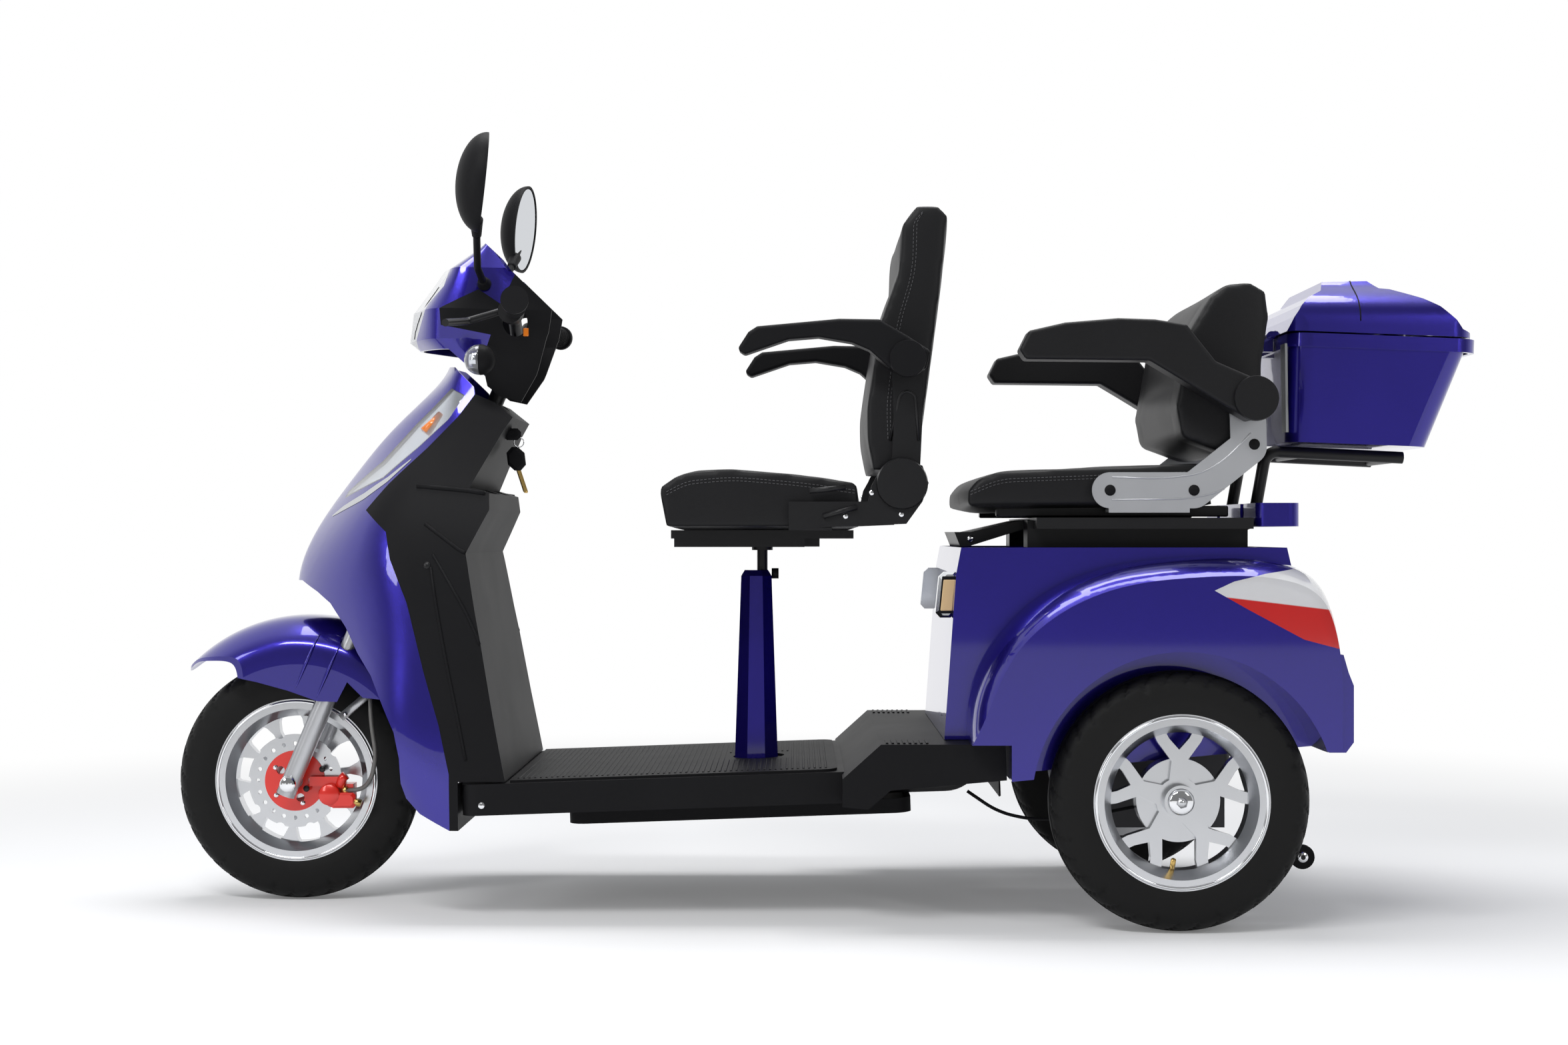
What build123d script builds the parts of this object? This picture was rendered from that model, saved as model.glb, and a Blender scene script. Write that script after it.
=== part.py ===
"""Two-seat, three-wheeled mobility scooter: one steered wheel in front, two wheels on a live axle behind.

Row frame: +X is forward, +Y is the rider's left, +Z is up. The origin is on the floor, under the middle of the
overall length. Sizes are in millimetres.
"""

import os
from math import cos, radians, sin

from build123d import *

os.makedirs("parts", exist_ok=True)

# ---------------------------------------------------------------- driving dimensions
TYRE_R = 205.0  # 3.00-10 tyre, overall radius
TYRE_W = 80.0
RIM_R = 138.0  # outside of the rim's flange
RIM_W = 64.0
FRONT_AXLE_X = 878.0
REAR_AXLE_X = -573.0
HALF_TRACK = 312.0
WALL = 4.0  # moulded body panels
RUN = 0.05  # radial clearance of a shaft running in its bore
GAP = 6.0  # clearance between a moving piece and the piece beside it

RAKE = 23.0  # steering axis back from the vertical
STEER_OFFSET = 55.0  # the fork legs stand this far ahead of the steering axis
LEG_Y = 78.0
LEG_R = 16.0
STANCHION_R = 13.0
AXLE_R = 7.5
STEM_R = 14.0
HEAD_TUBE_R = 24.0
YOKE_LOW = 345.0  # undersides of the two yokes and the head tube, up the steering axis
HEAD_LOW = 380.0
HEAD_HIGH = 590.0
BAR_UP = 845.0

DECK_TILT = 2.0  # the deck rises towards the rear
DECK_FRONT_X = 566.0
DECK_REAR_X = -300.0
POST_X = 92.0
DECK_Z = 239.0  # top of the deck at the seat post
DECK_HALF_W = 262.0
DECK_SKIRT = 50.0
FOOTREST_HALF_W = 330.0
FOOT_Z = 294.0  # top of the raised rear step
RAIL_Y = 150.0
RAIL_R = 13.0
POST_TOP_Z = 562.0

FRONT_SEAT_HALF_W = 215.0
RECLINE_X = -143.0
RECLINE_Z = 705.0
FRONT_ARM_X = -150.0
FRONT_ARM_Z = 903.0
FRONT_ARM_Y = 248.0
REAR_SEAT_HALF_W = 225.0
REAR_ARM_X = -698.0
REAR_ARM_Z = 838.0
REAR_ARM_Y = 274.0

BODY_TOP_Z = 602.0
BODY_HALF_W = 256.0
FENDER_HALF_W = 370.0
ARCH_R = 236.0

BOX_HALF_W = 190.0
LID_X = -768.0
LID_Z = 956.0
ANTI_TIP_X = -802.0
ANTI_TIP_Y = 165.0
ANTI_TIP_Z = 94.0
ANTI_TIP_R = 20.0

RAKE_S = sin(radians(RAKE))
RAKE_C = cos(radians(RAKE))
AXLE_Z = TYRE_R
# Plane across the steering axis: z runs up the axis, x forward, and the wheel's axle is at (STEER_OFFSET, 0, 0).
STEER_X = FRONT_AXLE_X - RAKE_C * STEER_OFFSET
STEER_Z = AXLE_Z - RAKE_S * STEER_OFFSET
STEER = Plane(origin=(STEER_X, 0, STEER_Z), x_dir=(RAKE_C, 0, RAKE_S), z_dir=(-RAKE_S, 0, RAKE_C))


def save(piece, name):
    piece.part.label = name
    export_step(piece.part, f"parts/{name}.step")


def wheel_section(x, y):
    """Half-plane of a wheel's section: local x runs along the axle, local y is the radius."""
    return Plane(origin=(x, y, AXLE_Z), x_dir=(0, 1, 0), z_dir=(1, 0, 0))


def side(x, z, y=0.0):
    """Plane facing the rider's left, with local x along +X reversed so that local y stays up."""
    return Plane(origin=(x, y, z), x_dir=(-1, 0, 0), z_dir=(0, 1, 0))


def prism(points, low, high):
    """A side outline, given as (x, z) points, carried across the vehicle from y = low to y = high."""
    with BuildPart() as body:
        with BuildSketch(Plane.XZ.offset(-low)):
            with BuildLine():
                Polyline(*points, close=True)
            make_face()
        extrude(amount=-(high - low))
    return body.part


def side_prism(points, hand, inner, outer):
    """A side outline carried from y = inner out to y = outer on the left (hand 1) or the right (hand -1)."""
    return prism(points, min(hand * inner, hand * outer), max(hand * inner, hand * outer))


def hull(sections, inset=0.0, ruled=False):
    """A hull through level plan sections: (z, nose x, nose half, cheek x, cheek half, tail x, tail half)."""
    with BuildPart() as body:
        for z, nose, n, cheek, c, tail, t in sections:
            with BuildSketch(Plane.XY.offset(z)):
                with BuildLine():
                    left = Spline(
                        (nose - inset, 0), (nose - inset - n * 0.3, n), (cheek - inset * 0.6, c - inset),
                        (tail, t - inset), tangents=((0, 1), (-1, 0.1)),
                    )
                    Line(left @ 1, (tail, inset - t))
                    Spline(
                        (tail, inset - t), (cheek - inset * 0.6, inset - c), (nose - inset - n * 0.3, -n),
                        (nose - inset, 0), tangents=((1, 0.1), (0, 1)),
                    )
                make_face()
        loft(ruled=ruled)
    return body.part


def tube(points, radius, corner=0.0):
    """A round bar bent along straight runs joined by tangent arcs."""
    with BuildPart() as bar:
        with BuildLine() as path:
            if corner > 0:
                FilletPolyline(*points, radius=corner)
            else:
                Polyline(*points)
        with BuildSketch(Plane(origin=path.line @ 0, z_dir=path.line % 0)):
            Circle(radius)
        sweep(path=path.line)
    return bar.part


def soft(points, low, high, radius):
    """A side outline carried across the vehicle with its two end faces rounded over."""
    with BuildPart() as body:
        with BuildSketch(Plane.XZ.offset(-low)):
            with BuildLine():
                Polyline(*points, close=True)
            make_face()
            fillet(vertices(), radius)
        extrude(amount=-(high - low))
        ends = faces().filter_by(Axis.Y)
        fillet(ends.edges(), radius * 0.9)
    return body.part


# ---------------------------------------------------------------- wheels
BEAD_R = RIM_R - 11.0
BEAD_Y = RIM_W / 2 - 0.3
BARREL_R = RIM_R - 30.0  # inside of the rim, where the spokes end
HUB_R = 30.0
HUB_HALF = 40.0
REAR_BORE = 10.0


def tyre(name, x, y):
    half = TYRE_W / 2
    shoulder = TYRE_R - 13
    with BuildPart() as piece:
        with BuildSketch(wheel_section(x, y)):
            with BuildLine():
                tread = ThreePointArc((-half * 0.74, shoulder), (0, TYRE_R), (half * 0.74, shoulder))
                ThreePointArc(tread @ 1, (half, TYRE_R - 36), (BEAD_Y, RIM_R + 2))
                Polyline((BEAD_Y, RIM_R + 2), (BEAD_Y, BEAD_R), (-BEAD_Y, BEAD_R), (-BEAD_Y, RIM_R + 2))
                ThreePointArc((-BEAD_Y, RIM_R + 2), (-half, TYRE_R - 36), tread @ 0)
            make_face()
        revolve(axis=Axis((x, y, AXLE_Z), (0, 1, 0)))
    save(piece, name)


def rim_blank(x, y):
    """Barrel with both flanges of a cast rim; the tyre's beads sit on it."""
    half = RIM_W / 2
    with BuildPart() as body:
        with BuildSketch(wheel_section(x, y)):
            with BuildLine():
                Polyline(
                    (-half, RIM_R), (-half, BEAD_R), (half, BEAD_R), (half, RIM_R), (half + 3.5, RIM_R),
                    (half + 3.5, BEAD_R - 6), (14, BARREL_R), (-14, BARREL_R), (-half - 3.5, BEAD_R - 6),
                    (-half - 3.5, RIM_R), close=True,
                )
            make_face()
        revolve(axis=Axis((x, y, AXLE_Z), (0, 1, 0)))
    return body.part


# Front wheel: tyre, ten-spoke rim, and the brake disc on its red carrier at the left.
tyre("front_tyre", FRONT_AXLE_X, 0)
front_blank = rim_blank(FRONT_AXLE_X, 0)
with BuildSketch() as front_spoke:
    with BuildLine():
        Polyline((40, -7), (86, -6), (102, -12), (113, -22), (113, 22), (102, 12), (86, 6), (40, 7), close=True)
    make_face()
with BuildPart() as front_rim:
    add(front_blank)
    with BuildSketch(side(FRONT_AXLE_X, AXLE_Z)):
        Circle(HUB_R + 18)
        with PolarLocations(0, 10, start_angle=9):
            add(front_spoke.sketch)
    extrude(amount=9, both=True)
    with BuildSketch(side(FRONT_AXLE_X, AXLE_Z)):
        Circle(HUB_R)
    extrude(amount=HUB_HALF, both=True)
    with BuildSketch(side(FRONT_AXLE_X, AXLE_Z)):
        Circle(AXLE_R + RUN)
    extrude(amount=HUB_HALF, both=True, mode=Mode.SUBTRACT)
save(front_rim, "front_rim")

DISC_R = 79.0
CARRIER_R = 51.0
with BuildPart() as front_disc:
    with BuildSketch(side(FRONT_AXLE_X, AXLE_Z, HUB_HALF)):
        Circle(DISC_R)
        with PolarLocations(DISC_R + 5, 10):
            Circle(9, mode=Mode.SUBTRACT)
        with PolarLocations(63, 20):
            Circle(3.5, mode=Mode.SUBTRACT)
        Circle(CARRIER_R - 3, mode=Mode.SUBTRACT)
    extrude(amount=4)
save(front_disc, "front_disc")
with BuildPart() as disc_carrier:
    with BuildSketch(side(FRONT_AXLE_X, AXLE_Z, HUB_HALF)):
        Circle(CARRIER_R)
        Circle(AXLE_R + 6, mode=Mode.SUBTRACT)
        with PolarLocations(30, 5):
            Circle(7, mode=Mode.SUBTRACT)
    extrude(amount=6)
    with BuildSketch(side(FRONT_AXLE_X, AXLE_Z, HUB_HALF)):
        Circle(CARRIER_R + 1)
        Circle(CARRIER_R - 3, mode=Mode.SUBTRACT)
    extrude(amount=4, mode=Mode.SUBTRACT)
save(disc_carrier, "disc_carrier")

# Rear wheels: five forked spokes; the silver brake drum is cast into the inner side.
with BuildSketch() as rear_spoke:
    with BuildLine():
        Polyline(
            (20, -17), (62, -12), (92, -34), (113, -44), (113, -24), (98, -16), (80, 0), (98, 16), (113, 24),
            (113, 44), (92, 34), (62, 12), (20, 17), close=True,
        )
    make_face()
for tag, hand in (("l", 1), ("r", -1)):
    wheel_y = hand * HALF_TRACK
    tyre(f"rear_tyre_{tag}", REAR_AXLE_X, wheel_y)
    rear_blank = rim_blank(REAR_AXLE_X, wheel_y)
    with BuildPart() as rear_rim:
        add(rear_blank)
        with BuildSketch(side(REAR_AXLE_X, AXLE_Z, wheel_y)):
            Circle(HUB_R + 6)
            with PolarLocations(0, 5, start_angle=90):
                add(rear_spoke.sketch)
        extrude(amount=9, both=True)
        with BuildSketch(side(REAR_AXLE_X, AXLE_Z, wheel_y)):
            Circle(26)
        extrude(amount=26, both=True)
        with BuildSketch(side(REAR_AXLE_X, AXLE_Z, wheel_y)):
            Circle(66)
        extrude(amount=-hand * 34)
        with BuildSketch(side(REAR_AXLE_X, AXLE_Z, wheel_y - hand * 34)):
            Circle(REAR_BORE + RUN)
        extrude(amount=hand * 50, mode=Mode.SUBTRACT)
    save(rear_rim, f"rear_rim_{tag}")

    with BuildPart() as anti_tip:
        with BuildSketch(side(ANTI_TIP_X, ANTI_TIP_Z, hand * ANTI_TIP_Y)):
            Circle(ANTI_TIP_R)
            Circle(4 + RUN, mode=Mode.SUBTRACT)
        extrude(amount=7, both=True)
        fillet(edges().filter_by(GeomType.CIRCLE).sort_by(SortBy.RADIUS)[-2:], 3)
    save(anti_tip, f"anti_tip_wheel_{tag}")


# ---------------------------------------------------------------- fork and front mudguard
GRIP_IN_Y = 212.0
GRIP_OUT_Y = 334.0
BAR_R = 11.0
BAR_X = 500.0
BAR_Z = 938.0  # the bar's dropped middle, held across the stem
BAR_PATH = [(468, GRIP_OUT_Y - 6, 990), (BAR_X, 90, 985), (BAR_X + 4, 0, BAR_Z), (BAR_X, -90, 985),
            (468, 6 - GRIP_OUT_Y, 990)]
BAR_BEND = 30.0
bar = tube(BAR_PATH, BAR_R, BAR_BEND)
bar_hole = tube(BAR_PATH, BAR_R + 0.2, BAR_BEND)
bar_room = tube(BAR_PATH, BAR_R + 4, BAR_BEND)
bar_pass = tube(BAR_PATH, BAR_R + 10, BAR_BEND)
with BuildPart() as fork_legs:
    # sliders and stanchions, with the lug that carries the brake caliper on the left slider
    with BuildSketch(STEER.offset(-22)):
        with Locations((STEER_OFFSET, LEG_Y), (STEER_OFFSET, -LEG_Y)):
            Circle(LEG_R)
    extrude(amount=190)
    with BuildSketch(STEER.offset(160)):
        with Locations((STEER_OFFSET, LEG_Y), (STEER_OFFSET, -LEG_Y)):
            Circle(STANCHION_R)
    extrude(amount=YOKE_LOW - 160)
    with BuildSketch(side(FRONT_AXLE_X, AXLE_Z)):
        Circle(AXLE_R + RUN)
    extrude(amount=LEG_Y + LEG_R + 4, both=True, mode=Mode.SUBTRACT)
save(fork_legs, "fork_legs")

with BuildPart() as fork:
    # axle, lower yoke and the stem that runs in the head tube
    with BuildSketch(side(FRONT_AXLE_X, AXLE_Z)):
        Circle(AXLE_R)
    extrude(amount=LEG_Y + LEG_R + 4, both=True)
    with BuildSketch(STEER.offset(YOKE_LOW)):
        with BuildLine():
            Polyline(
                (-24, 24), (-24, -24), (STEER_OFFSET - 18, -LEG_Y - 20), (STEER_OFFSET + 20, -LEG_Y - 20),
                (STEER_OFFSET + 20, LEG_Y + 20), (STEER_OFFSET - 18, LEG_Y + 20), close=True,
            )
        make_face()
    extrude(amount=24)
    with BuildSketch(STEER.offset(YOKE_LOW + 10)):
        Circle(STEM_R)
    extrude(amount=BAR_UP - YOKE_LOW - 10)
    add(bar_hole, mode=Mode.SUBTRACT)
save(fork, "fork")

GUARD_X = 862.0  # the mudguard is an arch about this point, a little behind and above the axle
GUARD_Z = 213.0
GUARD_R = 273.0
GUARD_HALF_W = 102.0


def guard_ring(skin):
    """The mudguard's crowned section turned right round; skin moves it inwards."""
    half = GUARD_HALF_W - skin
    crown = GUARD_R - skin
    with BuildPart() as body:
        with BuildSketch(Plane(origin=(GUARD_X, 0, GUARD_Z), x_dir=(0, 1, 0), z_dir=(1, 0, 0))):
            with BuildLine():
                right = Spline((0, crown), (half * 0.55, crown - 10), (half * 0.9, crown - 38), (half, crown - 80),
                               tangents=((1, 0), (0.05, -1)))
                Polyline(right @ 1, (half, 120), (-half, 120), (-half, crown - 80))
                Spline((-half, crown - 80), (-half * 0.9, crown - 38), (-half * 0.55, crown - 10), (0, crown),
                       tangents=((0.05, 1), (1, 0)))
            make_face()
        revolve(axis=Axis((GUARD_X, 0, GUARD_Z), (0, 1, 0)))
    return body.part


guard_outer = guard_ring(0)
guard_inner = guard_ring(WALL - 0.5)
guard_side = prism(
    [(1070, 384), (1070, 560), (700, 560), (694, 470), (696, 344), (752, 350), (778, 376), (795, 343), (827, 344),
     (878, 362), (929, 376), (972, 385), (1030, 391)], -200, 200)
with BuildPart() as front_mudguard:
    add(guard_outer)
    add(guard_side, mode=Mode.INTERSECT)
    with BuildSketch(Plane.XY):
        with BuildLine():
            Spline((1066, 0), (1056, 26), (1010, 74), (930, 110), (840, 120), tangents=((0, 1), (-1, 0)))
            Polyline((840, 120), (640, 120), (640, -120), (840, -120))
            Spline((840, -120), (930, -110), (1010, -74), (1056, -26), (1066, 0), tangents=((1, 0), (0, 1)))
        make_face()
    extrude(amount=700, mode=Mode.INTERSECT)
    add(guard_inner, mode=Mode.SUBTRACT)
    with BuildSketch(STEER.offset(120)):
        with Locations((STEER_OFFSET, LEG_Y), (STEER_OFFSET, -LEG_Y)):
            Circle(LEG_R + 1)
    extrude(amount=400, mode=Mode.SUBTRACT)
save(front_mudguard, "front_mudguard")

CALIPER_Y = 42.0  # middle of the brake disc
LEG_RUN = 188.0  # height over which the clearance for the near leg is cut
fork_clear = tube([(FRONT_AXLE_X, LEG_Y, AXLE_Z),
                   (FRONT_AXLE_X - LEG_RUN * RAKE_S / RAKE_C, LEG_Y, AXLE_Z + LEG_RUN)], LEG_R)
with BuildPart() as caliper:
    with BuildSketch(side(FRONT_AXLE_X - 68, AXLE_Z - 25, CALIPER_Y)):
        Circle(19)
        with Locations((14, 6)):
            Rectangle(38, 30)
    extrude(amount=15, both=True)
    with BuildSketch(side(FRONT_AXLE_X, AXLE_Z, CALIPER_Y)):
        Circle(DISC_R + 5)
    extrude(amount=6, both=True, mode=Mode.SUBTRACT)
    with BuildSketch(side(FRONT_AXLE_X, AXLE_Z, CALIPER_Y)):
        Circle(CARRIER_R + 5)
    extrude(amount=30, both=True, mode=Mode.SUBTRACT)
    with BuildSketch(side(FRONT_AXLE_X - 20, AXLE_Z, CALIPER_Y + 8)):
        with Locations((38, 0)):
            Rectangle(62, 16)
    extrude(amount=7)
    add(fork_clear, mode=Mode.SUBTRACT)
save(caliper, "caliper")

# ---------------------------------------------------------------- steering head: cowl, lamp, bars, mirrors
MIRROR_STEM_R = 6.0
MIRROR_Y = 268.0
MIRROR_X = 526.0
MIRROR_Z = 1184.0
SIGNAL_ARM_R = 8.0
SIGNAL_X = 550.0
SIGNAL_Y = 150.0
SIGNAL_Z = 911.0
SIGNAL_R = 25.0
SLIP = 0.3  # between a stem or arm and the hole it passes through


def mirror_stem(hand, radius):
    """The bent stem that carries a mirror, from the cowl outwards and up."""
    return tube([(551, hand * 78, 1040), (553, hand * 150, 1062), (538, hand * MIRROR_Y, 1150)], radius, 30)


def signal_arm(hand, radius, root):
    """The short arm of a turn signal, from y = root out into its lamp."""
    return tube([(SIGNAL_X, hand * root, SIGNAL_Z), (SIGNAL_X, hand * (SIGNAL_Y - 10), SIGNAL_Z)], radius)


mirror_stems = [mirror_stem(hand, MIRROR_STEM_R) for hand in (1, -1)]
stem_rooms = [mirror_stem(hand, MIRROR_STEM_R + SLIP) for hand in (1, -1)]
signal_arms = [signal_arm(hand, SIGNAL_ARM_R, 60) for hand in (1, -1)]
signal_rooms = [signal_arm(hand, SIGNAL_ARM_R + SLIP, 30) for hand in (1, -1)]
COLUMN_LOW = STEER.origin + STEER.z_dir * 300
COLUMN_HIGH = STEER.origin + STEER.z_dir * 900
column_room = tube([COLUMN_LOW, COLUMN_HIGH], STEM_R + 1)
COWL = [
    (1122, 560, 12, 548, 45, 528, 40), (1072, 632, 30, 600, 80, 512, 74), (1000, 684, 36, 640, 102, 438, 84),
    (950, 690, 34, 640, 98, 446, 78), (846, 560, 20, 540, 50, 484, 40),
]
cowl_outer = hull(COWL, ruled=True)
cowl_inner = hull(COWL, 5.0, ruled=True)
cowl_side = prism(
    [(556, 1118), (600, 1098), (614, 1067), (619, 1040), (646, 1010), (670, 955), (673, 936), (609, 933),
     (573, 900), (556, 914), (540, 958), (620, 972), (622, 1000), (560, 1034), (524, 1010), (500, 1063),
     (513, 1067), (538, 1101)], -150, 150)
lamp_side = prism(
    [(600, 1098), (614, 1067), (619, 1040), (646, 1010), (670, 955), (673, 936), (720, 936), (720, 1110)],
    -150, 150)
dash_side = prism(
    [(441, 1020), (432, 1002), (434, 988), (447, 955), (466, 894), (495, 848), (526, 855), (549, 873), (556, 914),
     (540, 958), (620, 972), (622, 1000), (560, 1034), (524, 1010), (500, 1063)], -150, 150)
with BuildPart() as head_cowl:
    add(cowl_outer)
    add(cowl_side, mode=Mode.INTERSECT)
    add(cowl_inner, mode=Mode.SUBTRACT)
    add(bar_room, mode=Mode.SUBTRACT)
    add(stem_rooms, mode=Mode.SUBTRACT)
    add(signal_rooms, mode=Mode.SUBTRACT)
save(head_cowl, "head_cowl")
with BuildPart() as headlight:
    add(cowl_outer)
    add(lamp_side, mode=Mode.INTERSECT)
    add(cowl_inner, mode=Mode.SUBTRACT)
save(headlight, "headlight")
with BuildPart() as dash:
    add(cowl_outer)
    add(dash_side, mode=Mode.INTERSECT)
    add(cowl_inner, mode=Mode.SUBTRACT)
    add(bar_pass, mode=Mode.SUBTRACT)
    add(signal_rooms, mode=Mode.SUBTRACT)
    add(column_room, mode=Mode.SUBTRACT)
save(dash, "dash")

CLAMP_Y = 180.0  # inner end of the brake lever's clamp on the bar
CLAMP_R = 20.0
LEVER_R = 6.0
levers = [tube([(508, hand * 196, 986), (560, hand * 215, 968), (581, hand * 304, 957)], LEVER_R, 12)
          for hand in (1, -1)]
with BuildPart() as handlebar:
    add(bar)
    add(levers)
    for hand in (1, -1):
        with BuildSketch(side(BAR_X - 8, 986, hand * CLAMP_Y)):
            Circle(CLAMP_R)
        extrude(amount=hand * 26)
save(handlebar, "handlebar")

with BuildPart() as grips:
    for hand in (1, -1):
        with BuildSketch(Plane(origin=(468, hand * GRIP_OUT_Y, 990), z_dir=(0.13, -hand, 0))):
            Circle(22)
        extrude(amount=9)
        with BuildSketch(Plane(origin=(468, hand * GRIP_OUT_Y, 990), z_dir=(0.13, -hand, 0))):
            Circle(17)
        extrude(amount=GRIP_OUT_Y - GRIP_IN_Y)
    add(bar, mode=Mode.SUBTRACT)
save(grips, "grips")

with BuildPart() as mirror_shell:
    Sphere(1)
    scale(by=(44, 58, 80))
    with Locations((-60, 0, 0)):
        Box(120, 200, 200, mode=Mode.SUBTRACT)
    with BuildSketch(Plane.YZ):
        Ellipse(54, 76)
    extrude(amount=3, mode=Mode.SUBTRACT)
with BuildPart() as mirrors:
    add(mirror_stems)
    for hand in (1, -1):
        with Locations(Location((MIRROR_X, hand * MIRROR_Y, MIRROR_Z), (0, -6, hand * 12))):
            add(mirror_shell.part)
save(mirrors, "mirrors")

with BuildPart() as turn_signals:
    with Locations((SIGNAL_X, SIGNAL_Y, SIGNAL_Z), (SIGNAL_X, -SIGNAL_Y, SIGNAL_Z)):
        Sphere(SIGNAL_R)
    add(signal_arms)
save(turn_signals, "turn_signals")

SPINE_R = 19.0
SPINE_PATH = [(645, 0, 612), (600, 0, 420), (562, 0, 196)]

# ---------------------------------------------------------------- front fairing, leg shield and their lens strip
FAIRING = [
    (930, 622, 22, 590, 56, 480, 62), (845, 676, 25, 620, 86, 470, 102), (740, 772, 28, 680, 134, 460, 160),
    (630, 850, 30, 730, 178, 460, 215), (570, 876, 32, 722, 196, 460, 232), (430, 850, 70, 700, 216, 460, 250),
    (240, 800, 120, 668, 238, 460, 262), (130, 760, 130, 640, 232, 460, 256),
]
fairing_outer = hull(FAIRING)
fairing_inner = hull(FAIRING, WALL + 1)
FAIRING_REAR = [
    (583, 148), (583, 239), (600, 317), (627, 405), (656, 512), (686, 583), (695, 627), (736, 663), (698, 707),
    (639, 766), (591, 820), (565, 858),
]
fairing_side = prism(
    FAIRING_REAR + [(568, 870), (603, 905), (629, 910), (760, 910), (930, 780), (930, 545), (866, 545), (828, 527),
     (800, 509), (769, 471), (745, 429), (718, 394), (695, 347), (674, 305), (665, 263), (664, 222), (656, 198),
     (633, 174)], -300, 300)
strip_side = prism([(582, 856), (608, 814), (654, 768), (712, 716), (792, 684), (786, 696), (722, 746), (668, 808),
                    (606, 868)], -300, 300)
with BuildPart() as fairing:
    add(fairing_outer)
    add(fairing_side, mode=Mode.INTERSECT)
    add(fairing_inner, mode=Mode.SUBTRACT)
    add(strip_side, mode=Mode.SUBTRACT)
save(fairing, "fairing")

shield_side = prism(
    FAIRING_REAR[::-1] + [(DECK_FRONT_X + 3, 148), (DECK_FRONT_X + 3, 227), (493, 227), (514, 334), (534, 444),
     (544, 494), (559, 577), (562, 592), (527, 663), (529, 690), (562, 700), (514, 796), (500, 818), (532, 844)],
    -300, 300)
shield_hollow = prism(
    [(DECK_FRONT_X + 7, 140), (DECK_FRONT_X + 7, 222), (497, 222), (518, 334), (538, 444), (548, 494), (563, 577),
     (567, 592), (532, 664), (534, 688), (568, 699), (518, 798), (507, 816), (535, 839), (700, 845), (760, 663),
     (700, 500), (640, 140)], -300, 300)
POCKET_HALF_W = 110.0
pocket_solid = prism([(567, 580), (610, 588), (610, 706), (560, 706), (562, 700), (529, 690), (527, 663),
                      (562, 592)],
                     -POCKET_HALF_W - WALL, POCKET_HALF_W + WALL)
# one pocket on either side of the pillar that covers the steering column
POCKET_PILLAR = 38.0
POCKET_PROFILE = [(567, 598), (606, 594), (606, 697), (559, 697), (533, 702), (533, 665)]
pocket_room_l = prism(POCKET_PROFILE, POCKET_PILLAR, POCKET_HALF_W)
pocket_room_r = prism(POCKET_PROFILE, -POCKET_HALF_W, -POCKET_PILLAR)
spine_room = tube(SPINE_PATH, SPINE_R + 1, 40)
with BuildPart() as shield_cavity:
    add(fairing_inner)
    add(shield_hollow, mode=Mode.INTERSECT)
with BuildPart() as leg_shield:
    add(fairing_outer)
    add(shield_side, mode=Mode.INTERSECT)
    add(shield_cavity.part, mode=Mode.SUBTRACT)
    add(pocket_solid)
    add([pocket_room_l, pocket_room_r], mode=Mode.SUBTRACT)
    with BuildSketch(STEER.offset(HEAD_LOW)):
        Circle(HEAD_TUBE_R + GAP)
    extrude(amount=400, mode=Mode.SUBTRACT)
    add(spine_room, mode=Mode.SUBTRACT)
save(leg_shield, "leg_shield")

# ---------------------------------------------------------------- frame
RAIL_POINTS = [(560, 188), (-250, 214), (-300, 330), (-420, 430), (-720, 430), (-720, 590)]
CROSS_POINTS = ((548, 189), (92, 203), (-720, 520), (-430, 430))
STAY_R = 11.0
PROP_R = 7.0
spine = tube(SPINE_PATH, SPINE_R, 40)
rails = [tube([(x, hand * RAIL_Y, z) for x, z in RAIL_POINTS], RAIL_R, 50) for hand in (1, -1)]
stays = [tube([(-640, hand * RAIL_Y, 430), (-600, hand * RAIL_Y, 262)], STAY_R) for hand in (1, -1)]
props = [tube([(-700, hand * RAIL_Y, 430), (ANTI_TIP_X, hand * RAIL_Y, ANTI_TIP_Z)], PROP_R) for hand in (1, -1)]
crosses = [tube([(x, -RAIL_Y, z), (x, RAIL_Y, z)], STAY_R) for x, z in CROSS_POINTS]
with BuildPart() as frame:
    with BuildSketch(STEER.offset(HEAD_LOW)):
        Circle(HEAD_TUBE_R)
    extrude(amount=HEAD_HIGH - HEAD_LOW)
    add([spine, *rails, *stays, *props, *crosses])
    for hand in (1, -1):
        with BuildSketch(side(ANTI_TIP_X, ANTI_TIP_Z, hand * (ANTI_TIP_Y - 7.5))):
            Circle(9)
        extrude(amount=-hand * 16)
        with BuildSketch(side(ANTI_TIP_X, ANTI_TIP_Z, hand * (ANTI_TIP_Y - 9))):
            Circle(4)
        extrude(amount=hand * 19)
    with BuildSketch(STEER.offset(HEAD_LOW - 1)):
        Circle(STEM_R + RUN)
    extrude(amount=HEAD_HIGH - HEAD_LOW + 2, mode=Mode.SUBTRACT)
save(frame, "frame")

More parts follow.
